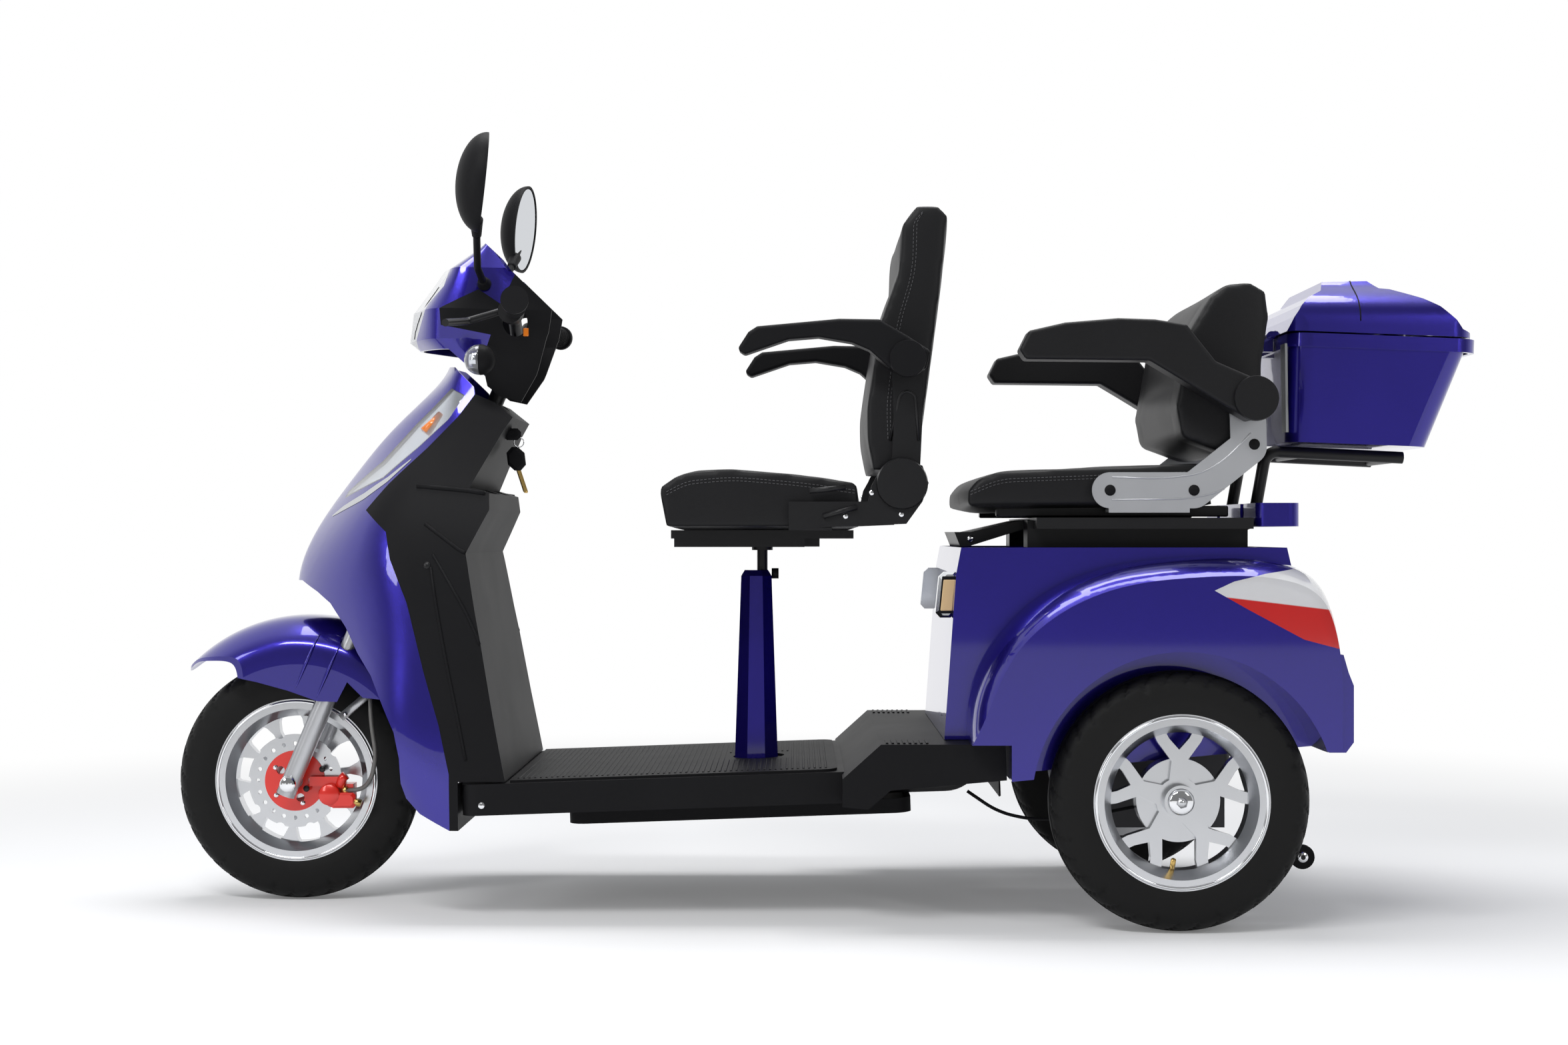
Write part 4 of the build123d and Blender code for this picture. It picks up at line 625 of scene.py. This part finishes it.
inner_copy("headlight_bowl", "headlight", (-0.012, 0.001), 0.90, chrome_soft, "steering")
inner_copy("strip_liner", "marker_lenses", (-0.004, -0.004), 0.955, chrome_soft, "chassis")
inner_copy("tail_liner", "tail_lamps", (0.008, -0.008), 0.975, chrome_soft, "chassis")
signal_x, signal_y, signal_z, signal_radius = 0.549, 0.150, 0.911, 0.0256
rings, sides = 9, 28
for hand, tag in SIDES:
    bulb = wire(f"strip_bulb_{tag}", [(0.622, hand * 0.083, 0.822), (0.650, hand * 0.098, 0.795)], 0.008, amber,
                sides=14)
    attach(bulb, "chassis")
    back = []
    for i in range(rings):
        a = math.pi / 2 * i / (rings - 1)
        for k in range(sides):
            b = 2 * math.pi * k / sides
            back.append((signal_x - signal_radius * math.cos(a),
                         hand * signal_y + signal_radius * math.sin(a) * math.cos(b),
                         signal_z + signal_radius * math.sin(a) * math.sin(b)))
    shell = piece(f"signal_back_{tag}", back, [
        (i * sides + k, i * sides + (k + 1) % sides, (i + 1) * sides + (k + 1) % sides, (i + 1) * sides + k)
        for i in range(rings - 1) for k in range(sides)], plastic)
    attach(shell, "steering")
    signal_bulb = wire(f"signal_bulb_{tag}", [(0.548, hand * signal_y, signal_z), (0.562, hand * signal_y, signal_z)],
                       0.009, chrome_soft, sides=16)
    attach(signal_bulb, "steering")


def split_finish(node, material, inside):
    """Gives the faces whose centres pass a test another finish."""
    mesh = nodes[node].data
    mesh.materials.append(material)
    for face in mesh.polygons:
        if inside(face.center, face.normal):
            face.material_index = len(mesh.materials) - 1


split_finish("dash", chrome_soft, lambda c, n: c.z > 1.018 + 0.70 * (c.x - 0.441) and n.z > 0.2)
studs("bumper_reflectors", [(-0.8442, hand * 0.240, 0.332, (-1, 0, 0)) for hand, tag in SIDES], 0.023, 0.004, red_lens,
      "chassis")
lens_edge = ((0.630, 1.040), (0.639, 1.026), (0.649, 1.012), (0.659, 0.996), (0.668, 0.980), (0.674, 0.966),
             (0.676, 0.954))
tub_lamp_x, tub_lamp_lean = -0.2165, 0.10
for hand, tag in SIDES:
    block = bevelled_block(f"tub_lamp_{tag}", (tub_lamp_x, hand * 0.2140, 0.5255), (0.033, 0.030, 0.074), 0.008,
                           tub_lamp_lean, chrome_soft)
    rim = bevelled_block(f"tub_lamp_rim_{tag}", (tub_lamp_x, hand * 0.2285, 0.5255), (0.024, 0.003, 0.060), 0.001,
                         tub_lamp_lean, plastic)
    pane = bevelled_block(f"tub_lamp_lens_{tag}", (tub_lamp_x, hand * 0.2300, 0.5250), (0.019, 0.003, 0.050), 0.001,
                          tub_lamp_lean, amber_clear)
    for obj in (block, rim, pane):
        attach(obj, "chassis")
    place, normal = on_skin("dash", 0.482, 0.963, hand)
    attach(bevelled_block(f"cheek_reflector_{tag}", tuple(place + normal * 0.0005), (0.009, 0.004, 0.014), 0.001, 0.0,
                           amber), "steering")
    edge = [on_skin("headlight", x, z, hand) for x, z in lens_edge]
    edge = [hit[0] + hit[1] * 0.0002 for hit in edge if hit]
    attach(wire(f"lens_line_{tag}", edge, 0.0008, plastic, sides=8), "steering")

# ------------------------------------------------------------------ floor mat and step
# A rubber mat with raised ribs lies on the deck round the seat post, and bars are moulded on the passenger's
# footrests. One chrome screw on each side holds the deck's front corner.
BOX_FACES = ((3, 2, 1, 0), (4, 5, 6, 7), (0, 1, 5, 4), (1, 2, 6, 5), (2, 3, 7, 6), (3, 0, 4, 7))


def bars(name, places, size, material, body):
    """Small raised bars, one mesh: each place is (x, y, z, tilt about Y)."""
    verts, faces = [], []
    for x, y, z, tilt in places:
        base = len(verts)
        for sx, sy, sz in ((-1, -1, 0), (1, -1, 0), (1, 1, 0), (-1, 1, 0), (-0.6, -1, 1), (0.6, -1, 1), (0.6, 1, 1),
                           (-0.6, 1, 1)):
            px, py, pz = sx * size[0] / 2, sy * size[1] / 2, sz * size[2]
            verts.append((x + px * math.cos(tilt) + pz * math.sin(tilt), y + py,
                          z - px * math.sin(tilt) + pz * math.cos(tilt)))
        faces += [tuple(base + i for i in face) for face in BOX_FACES]
    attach(piece(name, verts, faces, material, smooth=False), body)


deck_tilt = math.radians(2)
mat_pitch = 9
mat_at = [(x / 1000, 0.2429 + (0.092 - x / 1000) * math.tan(deck_tilt)) for x in range(-20, 480, mat_pitch)
          if not 40 < x < 150]
post_at = [(x / 1000, 0.2429 + (0.092 - x / 1000) * math.tan(deck_tilt)) for x in range(43, 150, mat_pitch)]
bars("mat_ribs", [(x, 0.0, z, deck_tilt) for x, z in mat_at], (0.004, 0.46, 0.0012), rubber, "chassis")
bars("mat_ribs_by_post", [(x, y, z, deck_tilt) for x, z in post_at for y in (0.145, -0.145)], (0.004, 0.17, 0.0012),
     rubber, "chassis")
bars("step_bars", [(x / 1000, hand * 0.290, 0.2938, 0.0) for hand, tag in SIDES for x in range(-178, -108, 9)],
     (0.005, 0.056, 0.0022), plastic, "chassis")
for hand, tag in SIDES:
    studs(f"deck_screw_{tag}", [(*on_skin("deck", 0.530, 0.190, hand)[0], (0, hand, 0))], 0.006, 0.004, chrome,
          "chassis")

# ------------------------------------------------------------------ leg shield's creases
# The cheeks of the black leg shield are stepped; each step's edge is a raised crease in the moulding. A black screw
# on each side fixes the shield to the fairing.
def side_path(points, radius, steps):
    """A rounded path in the upright plane, from points (x, z)."""
    return [(p.x, p.z) for p in rounded_path([(x, 0, z) for x, z in points], radius, steps)]


shield_creases = (
    (0.0042, [(0.648, 0.702), (0.600, 0.698), (0.560, 0.694), (0.536, 0.690)]),
    (0.0030, [(0.630, 0.640), (0.600, 0.618), (0.570, 0.596), (0.553, 0.590)]),
    (0.0026, [(0.615, 0.590), (0.560, 0.500), (0.541, 0.460), (0.536, 0.446)]),
    (0.0026, [(0.618, 0.570), (0.606, 0.500), (0.590, 0.420), (0.570, 0.330), (0.556, 0.262)]),
)
for hand, tag in SIDES:
    place, normal = on_skin("leg_shield", 0.624, 0.573, hand)
    studs(f"shield_screw_{tag}", [(*place, tuple(normal))], 0.006, 0.003, steel, "chassis")
    for n, (thick, path) in enumerate(shield_creases):
        crease = along_skin("leg_shield", side_path(path, 0.03, 5), hand, 0.10)
        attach(wire(f"shield_crease_{tag}_{n}", crease, thick, plastic, sides=10), "chassis")

# ------------------------------------------------------------------ grips and mirrors
# Moulded rings run round both rubber grips. The mirrors are flat silvered glass set in the rear of the black
# housings, on stems with a rubber boot at the foot and below the housing.
glass = finish_of("mirror glass", (0.60, 0.62, 0.65), 0.03, metallic=1.0, wear=0.0)
glass_sides = 64
glass_back, glass_thick = 0.0012, 0.0016
glass_half_wide, glass_half_high = 0.0525, 0.0745
grip_rings, grip_pitch, grip_radius = 11, 0.0092, 0.0172
for hand, tag in SIDES:
    place = (Matrix.Translation((0.526, hand * 0.268, 1.184)) @ Matrix.Rotation(math.radians(-6), 4, "Y")
             @ Matrix.Rotation(math.radians(hand * 12), 4, "Z"))
    oval = []
    for k in range(glass_sides):
        a = 2 * math.pi * k / glass_sides
        oval.append(Vector((glass_back, glass_half_wide * math.cos(a), glass_half_high * math.sin(a))))
    front = [place @ (v + Vector((glass_thick, 0, 0))) for v in oval]
    pane = piece(f"mirror_glass_{tag}", [place @ v for v in oval] + front,
                 [tuple(range(glass_sides))[::-1], tuple(range(glass_sides, 2 * glass_sides))] +
                 [(k, (k + 1) % glass_sides, glass_sides + (k + 1) % glass_sides, glass_sides + k)
                  for k in range(glass_sides)], glass, smooth=False)
    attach(pane, "steering")
    bend = Vector((0.5530, hand * 0.150, 1.062))
    for title, a, b, base, swell in (
            ("boot", bend, Vector((0.538, hand * 0.268, 1.150)), 0.52, lambda t: 0.0078 + 0.0032 * t),
            ("foot", Vector((0.5512, hand * 0.086, 1.0425)), bend, 0.02, lambda t: 0.0078 + 0.0045 * (1 - t))):
        boot = wire(f"mirror_{title}_{tag}", [a.lerp(b, base + 0.03 * k) for k in range(9)], swell, rubber, sides=20)
        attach(boot, "steering")
    start, way = Vector((0.468, hand * 0.334, 0.990)), Vector((0.13, -hand, 0)).normalized()
    side_a = Vector((0, 0, 1))
    side_b = way.cross(side_a)
    for n in range(grip_rings):
        centre = start + way * (0.018 + n * grip_pitch)
        path = [centre + (side_a * math.cos(a) + side_b * math.sin(a)) * grip_radius
                for a in (2 * math.pi * k / 28 for k in range(28))]
        ring = wire(f"grip_ring_{tag}_{n}", path, 0.0012, rubber, closed=True, sides=8)
        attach(ring, "steering")

# ------------------------------------------------------------------ key, lock and knob
# The ignition lock sits in the collar below the dash, with its key, a ring and a hanging fob with a brass spare key.
# A black clamp knob screws into the seat post.
lock = wire("ignition_lock", [(0.530, 0.052, 0.797), (0.519, 0.052, 0.793)], 0.013, plastic, sides=28)
key_ring = wire("key_ring", hoop((0.4975, 0.052, 0.779), 0.0085, 24), 0.0009, chrome, closed=True, sides=8)
key = bevelled_block("ignition_key", (0.5085, 0.052, 0.7925), (0.030, 0.006, 0.020), 0.006, 0.0, plastic)
fob = bevelled_block("key_fob", (0.502, 0.052, 0.751), (0.030, 0.009, 0.040), 0.010, -0.12, plastic)
spare = bevelled_block("spare_key", (0.4925, 0.052, 0.715), (0.008, 0.002, 0.044), 0.002, -0.33, brass)
knob = wire("post_knob", [(0.070, 0.0, 0.556), (0.060, 0.0, 0.556), (0.058, 0.0, 0.556)], 0.009, plastic, sides=18)
for obj in (lock, key, key_ring, fob, spare, knob):
    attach(obj, "chassis")

# ------------------------------------------------------------------ seats
# Foam cushions in black leatherette, stuffed tight, with a sewn edge and sewn channels; the passenger's armrests are
# covered alike. Cloth puffed by an inner pressure takes the place of the plain cushions and backrests.
leatherette = finish_of("black leatherette", (0.010, 0.010, 0.011), 0.45, grain_scale=520, strength=0.35,
                        shine=0.18)
puff_pressure, puff_frames, puff_limit = 4.0, 16, 0.009
across_steps = 22


def cushion(name, outline, half, seams):
    """A closed bag over the outline, drawn out across the seat; the cloth solver puffs it between its seams."""
    ring = []
    for (ax, az), (bx, bz) in zip(outline, outline[1:] + outline[:1]):
        steps = max(1, round(math.hypot(bx - ax, bz - az) / 0.02))
        ring += [(ax + (bx - ax) * k / steps, az + (bz - az) * k / steps) for k in range(steps)]
    verts, faces = [], []
    count = len(ring)
    for i in range(across_steps + 1):
        y = -half + 2 * half * i / across_steps
        verts += [(x, y, z) for x, z in ring]
    for i in range(across_steps):
        for k in range(count):
            m = (k + 1) % count
            faces.append((i * count + k, (i + 1) * count + k, (i + 1) * count + m, i * count + m))
    faces.append(tuple(range(count)))
    faces.append(tuple(across_steps * count + k for k in range(count))[::-1])
    obj = piece(name, verts, faces, leatherette)
    bpy.context.view_layer.objects.active = obj
    remesh = obj.modifiers.new("even", "REMESH")
    remesh.mode = "VOXEL"
    remesh.voxel_size = 0.007
    bake(obj)
    group = obj.vertex_groups.new(name="seam")
    pinned = []
    for v in obj.data.vertices:
        x, y, z = v.co
        edge = abs(abs(y) - half) < 0.006 and any(math.hypot(x - px, z - pz) < 0.007 for px, pz in ring)
        if edge or any(seam(x, y, z) for seam in seams):
            pinned.append(v.index)
    group.add(pinned, 1.0, "REPLACE")
    rest = [v.co.copy() for v in obj.data.vertices]
    cloth = obj.modifiers.new("puff", "CLOTH")
    cloth.settings.vertex_group_mass = "seam"
    cloth.settings.use_pressure = True
    cloth.settings.uniform_pressure_force = puff_pressure
    cloth.settings.effector_weights.gravity = 0.0
    cloth.settings.tension_stiffness = 12
    cloth.settings.compression_stiffness = 12
    cloth.settings.bending_stiffness = 1.2
    cloth.collision_settings.use_self_collision = False
    cloth.point_cache.frame_start = 1
    cloth.point_cache.frame_end = puff_frames
    for f in range(1, puff_frames + 1):
        scene.frame_set(f)
    bake(obj)
    for v, start in zip(obj.data.vertices, rest):
        move = v.co - start
        if move.length > puff_limit:
            v.co = start + move.normalized() * puff_limit
    smooth = obj.modifiers.new("soft", "SMOOTH")
    smooth.iterations = 3
    smooth.factor = 0.5
    bake(obj)
    obj.data.polygons.foreach_set("use_smooth", [True] * len(obj.data.polygons))
    return obj


front_seat = cushion(
    "front_seat_pad",
    [(0.238, 0.636), (0.250, 0.698), (0.221, 0.718), (0.189, 0.727), (0.132, 0.729), (0.024, 0.720), (-0.070, 0.706),
     (-0.078, 0.636)], 0.212,
    [lambda x, y, z: z > 0.69 and abs(abs(y) - 0.150) < 0.005, lambda x, y, z: z > 0.7 and abs(x - 0.06) < 0.005])
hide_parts("front_cushion")
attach(front_seat, "chassis")

front_back = cushion(
    "front_back_pad",
    [(-0.098, 0.728), (-0.088, 0.777), (-0.087, 0.826), (-0.108, 0.963), (-0.139, 1.050), (-0.144, 1.125),
     (-0.168, 1.156), (-0.202, 1.156), (-0.218, 1.140), (-0.206, 1.027), (-0.182, 0.846), (-0.170, 0.756),
     (-0.150, 0.728)], 0.206,
    [lambda x, y, z: x > -0.150 and abs(abs(y) - 0.145) < 0.005 and z < 1.04,
     lambda x, y, z: x > -0.16 and abs(z - 1.052) < 0.006,
     lambda x, y, z: x > -0.150 and abs(z - 0.900) < 0.005 and abs(y) < 0.145])
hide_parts("front_backrest")
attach(front_back, "seat_back")

rear_seat = cushion(
    "rear_seat_pad",
    [(-0.250, 0.668), (-0.250, 0.692), (-0.266, 0.712), (-0.301, 0.725), (-0.481, 0.732), (-0.633, 0.738),
     (-0.645, 0.672)], 0.221,
    [lambda x, y, z: z > 0.70 and abs(abs(y) - 0.155) < 0.005, lambda x, y, z: z > 0.70 and abs(x + 0.40) < 0.005])
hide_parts("rear_cushion")
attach(rear_seat, "chassis")

rear_back = cushion(
    "rear_back_pad",
    [(-0.667, 0.754), (-0.597, 0.780), (-0.587, 0.830), (-0.609, 0.952), (-0.643, 1.008), (-0.668, 1.028),
     (-0.706, 1.030), (-0.732, 1.016), (-0.736, 0.973), (-0.725, 0.901), (-0.725, 0.820), (-0.698, 0.754)],
    0.221,
    [lambda x, y, z: x > -0.66 and abs(abs(y) - 0.155) < 0.005,
     lambda x, y, z: x > -0.66 and abs(z - 0.860) < 0.005 and abs(y) < 0.155,
     lambda x, y, z: x > -0.66 and abs(z - 0.800) < 0.005 and abs(y) < 0.155])
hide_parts("rear_backrest")
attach(rear_back, "chassis")
dress(leatherette, "rear_arm_l", "rear_arm_r")

# ------------------------------------------------------------------ stitching
# Grey double stitch along the cushions' top edges and the backrest's front edges: short stitches laid by Geometry
# Nodes along a curve, each a small straight bar of thread.
thread = finish_of("grey thread", (0.085, 0.085, 0.09), 0.7)
stitch_gap, stitch_length, stitch_radius = 0.0065, 0.0040, 0.0005


def stitch_line(name, points, body):
    """Stitches along the points, riding on a body."""
    curve = bpy.data.curves.new(name, "CURVE")
    curve.dimensions = "3D"
    spline = curve.splines.new("POLY")
    spline.points.add(len(points) - 1)
    for dot, p in zip(spline.points, points):
        dot.co = (*p, 1)
    obj = bpy.data.objects.new(name, curve)
    scene.collection.objects.link(obj)
    tree = bpy.data.node_groups.new(name + "_nodes", "GeometryNodeTree")
    tree.interface.new_socket("Geometry", in_out="INPUT", socket_type="NodeSocketGeometry")
    gap = tree.interface.new_socket("Spacing", in_out="INPUT", socket_type="NodeSocketFloat")
    tree.interface.new_socket("Geometry", in_out="OUTPUT", socket_type="NodeSocketGeometry")
    start, end = add_node(tree, "NodeGroupInput"), add_node(tree, "NodeGroupOutput")
    dots = add_node(tree, "GeometryNodeCurveToPoints", mode="LENGTH")
    bar = add_node(tree, "GeometryNodeMeshCylinder", {"Vertices": 6, "Radius": stitch_radius, "Depth": stitch_length})
    put = add_node(tree, "GeometryNodeInstanceOnPoints")
    real = add_node(tree, "GeometryNodeRealizeInstances")
    paint = add_node(tree, "GeometryNodeSetMaterial", {"Material": thread})
    turn = add_node(tree, "FunctionNodeAlignRotationToVector", axis="Z")
    join(tree, (start, "Geometry", dots, "Curve"), (start, "Spacing", dots, "Length"), (dots, "Points", put, "Points"),
         (dots, "Tangent", turn, "Vector"), (turn, "Rotation", put, "Rotation"), (bar, "Mesh", put, "Instance"),
         (put, "Instances", real, "Geometry"), (real, "Geometry", paint, "Geometry"),
         (paint, "Geometry", end, "Geometry"))
    mod = obj.modifiers.new("stitches", "NODES")
    mod.node_group = tree
    mod[gap.identifier] = stitch_gap
    graph = bpy.context.evaluated_depsgraph_get()
    mesh = bpy.data.meshes.new_from_object(obj.evaluated_get(graph))
    bpy.data.objects.remove(obj)
    mesh.name = name
    out = bpy.data.objects.new(name, mesh)
    scene.collection.objects.link(out)
    if not out.data.materials:
        out.data.materials.append(thread)
    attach(out, body)


def on_surface(obj, points, toward, lift=0.0006):
    """Each point moved along a direction onto the object's skin."""
    out = []
    for p in points:
        start = Vector(p) - Vector(toward) * 0.05
        hit, place, normal, _ = obj.ray_cast(start, Vector(toward), distance=0.12)
        if hit:
            out.append(tuple(place + normal * lift))
    return out


for hand, tag in SIDES:
    for drop in (0.013, 0.018):
        for title, pad, body, side, path, fall in (
            ("front_seat", front_seat, "chassis", 0.212,
             [(0.236, 0.706), (0.205, 0.722), (0.132, 0.729), (0.024, 0.720), (-0.065, 0.708)], drop),
            ("front_back", front_back, "seat_back", 0.206,
             [(-0.108 - drop, 0.780), (-0.106 - drop, 0.830), (-0.122 - drop, 0.963), (-0.148 - drop, 1.050),
              (-0.150 - drop, 1.130), (-0.176, 1.150 - drop * 0.4)], 0.0),
            ("rear_seat", rear_seat, "chassis", 0.221,
             [(-0.256, 0.706), (-0.301, 0.725), (-0.400, 0.729), (-0.481, 0.732), (-0.625, 0.738)], drop),
        ):
            line = [(x, hand * side, z - fall) for x, z in side_path(path, 0.03, 6)]
            stitch_line(f"{title}_stitch_{tag}_{int(drop * 1000)}", on_surface(pad, line, (0, -hand, 0)), body)

# ------------------------------------------------------------------ seat levers, runners and brackets
# The rider's seat has steel levers for the slide and the backrest, and a channel where the backrest's frame is let
# in. The passenger's seat stands on two runners between cast brackets, painted silver, with black caps on the bolts.
dress(silver, "rear_seat_brackets")
for hand, tag in SIDES:
    for title, start, end in (("recline", (0.006, 0.693), (-0.052, 0.699)),
                              ("slide", (-0.016, 0.652), (-0.070, 0.667))):
        lever = wire(f"{title}_lever_{tag}", [(start[0], hand * 0.2265, start[1]), (end[0], hand * 0.2265, end[1])],
                     0.0045, steel, sides=12)
        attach(lever, "chassis")
    channel = []
    for x, z in side_path([(-0.1242, 0.775), (-0.1396, 0.8487), (-0.1512, 0.8560), (-0.1647, 0.8487), (-0.1700, 0.775)],
                          0.012, 5):
        hits = [o.ray_cast(Vector((x, hand * 0.5, z)), Vector((0, -hand, 0)), distance=0.5)
                for o in (nodes["front_back_frame"], front_back)]
        hits = [place for hit, place, normal, _ in hits if hit]
        if hits:
            channel.append(max(hits, key=lambda v: abs(v.y)))
    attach(wire(f"recline_channel_{tag}", channel, 0.0024, steel, sides=10), "seat_back")
    runner = bevelled_block(f"rear_runner_{tag}", (-0.490, hand * 0.165, 0.661), (0.380, 0.022, 0.018), 0.002, 0.0,
                            steel)
    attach(runner, "chassis")
    studs(f"link_screw_{tag}", [(*on_skin("rear_seat_base", -0.262, 0.616, hand)[0], (0, hand, 0))], 0.006, 0.004,
          chrome, "chassis")
    for title, path in (("upper", [(-0.480, 0.7155), (-0.560, 0.7125), (-0.622, 0.720), (-0.662, 0.7437),
                                   (-0.690, 0.772), (-0.703, 0.786)]),
                        ("lower", [(-0.480, 0.679), (-0.600, 0.680), (-0.650, 0.690), (-0.690, 0.7123),
                                   (-0.7218, 0.7406), (-0.7312, 0.7625)])):
        bead_line = along_skin("rear_seat_brackets", side_path(path, 0.03, 5), hand, 0.20)
        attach(wire(f"bracket_bead_{title}_{tag}", bead_line, 0.0013, silver, sides=8), "chassis")
studs("bracket_caps", [(x, hand * 0.2362, z, (0, hand, 0)) for hand, tag in SIDES
                       for x, z in ((-0.477, 0.694), (-0.612, 0.694), (-0.709, 0.768))], 0.009, 0.004, plastic,
      "chassis")
studs("recliner_screws", [(x, hand * 0.2245, z, (0, hand, 0)) for hand, tag in SIDES
                          for x, z in ((-0.094, 0.690), (-0.142, 0.655), (-0.052, 0.652))], 0.0045, 0.0025, chrome,
      "chassis")

# ------------------------------------------------------------------ top box trim
# Chrome strips on the box's front face, the lock on its rear face, a black welt across the lid and two red
# reflectors. The welt and the reflectors lift with the lid.
for hand, tag in SIDES:
    strip = piece(f"box_strip_{tag}", [
        (x, hand * y, z) for x, y, z in (
            (-0.7765, 0.150, 0.790), (-0.7765, 0.181, 0.790), (-0.7735, 0.184, 0.935), (-0.7735, 0.150, 0.935),
            (-0.7725, 0.150, 0.790), (-0.7725, 0.180, 0.790), (-0.7700, 0.183, 0.935), (-0.7700, 0.150, 0.935))],
        BOX_FACES, chrome_soft, smooth=False)
    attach(strip, "chassis")
lock_plate = wire("box_lock", [(-1.0835, 0, 0.925), (-1.0915, 0, 0.924)], 0.016, plastic, sides=28)
lock_slot = wire("box_lock_slot", [(-1.091, 0, 0.924), (-1.0925, 0, 0.924)], 0.006, chrome, sides=20)
for obj in (lock_plate, lock_slot):
    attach(obj, "chassis")
lid_middle = Vector((-0.892, 0, 0.96))
welt = []
for k in range(1, 48):
    a = math.pi * k / 48
    over = Vector((-0.892, 0.1865 * math.cos(a), 0.962 + 0.080 * math.sin(a) ** 0.8))
    away = over - lid_middle
    hit, place, normal, _ = nodes["box_lid"].ray_cast(over + away * 0.6, -away.normalized(), distance=0.4)
    if hit:
        welt.append(place + normal * 0.0002)
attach(wire("lid_seam", welt, 0.0011, plastic, sides=8), "lid")
for hand, tag in SIDES:
    reflector = wire(f"lid_reflector_{tag}", [(-1.0165, hand * 0.120, 0.9990), (-1.0265, hand * 0.120, 0.9905)], 0.011,
                     red_lens, sides=20)
    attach(reflector, "lid")

# ------------------------------------------------------------------ anti-tip wheels' bolts
# Two small wheels on steel props behind the rear axle stop the scooter from tipping back.
# The chrome head of each one's axle bolt shows on its outer side.
for hand, tag in SIDES:
    low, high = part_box(f"anti_tip_wheel_{tag}")
    outer = high[1] if hand == 1 else low[1]
    studs(f"anti_tip_hub_{tag}", [(-0.802, outer, 0.094, (0, hand, 0))], 0.009, 0.003, chrome, "chassis")

# ------------------------------------------------------------------ size note
# The overall box of the dressed scooter as shown, in metres: low corner and high corner.
low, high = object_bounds()
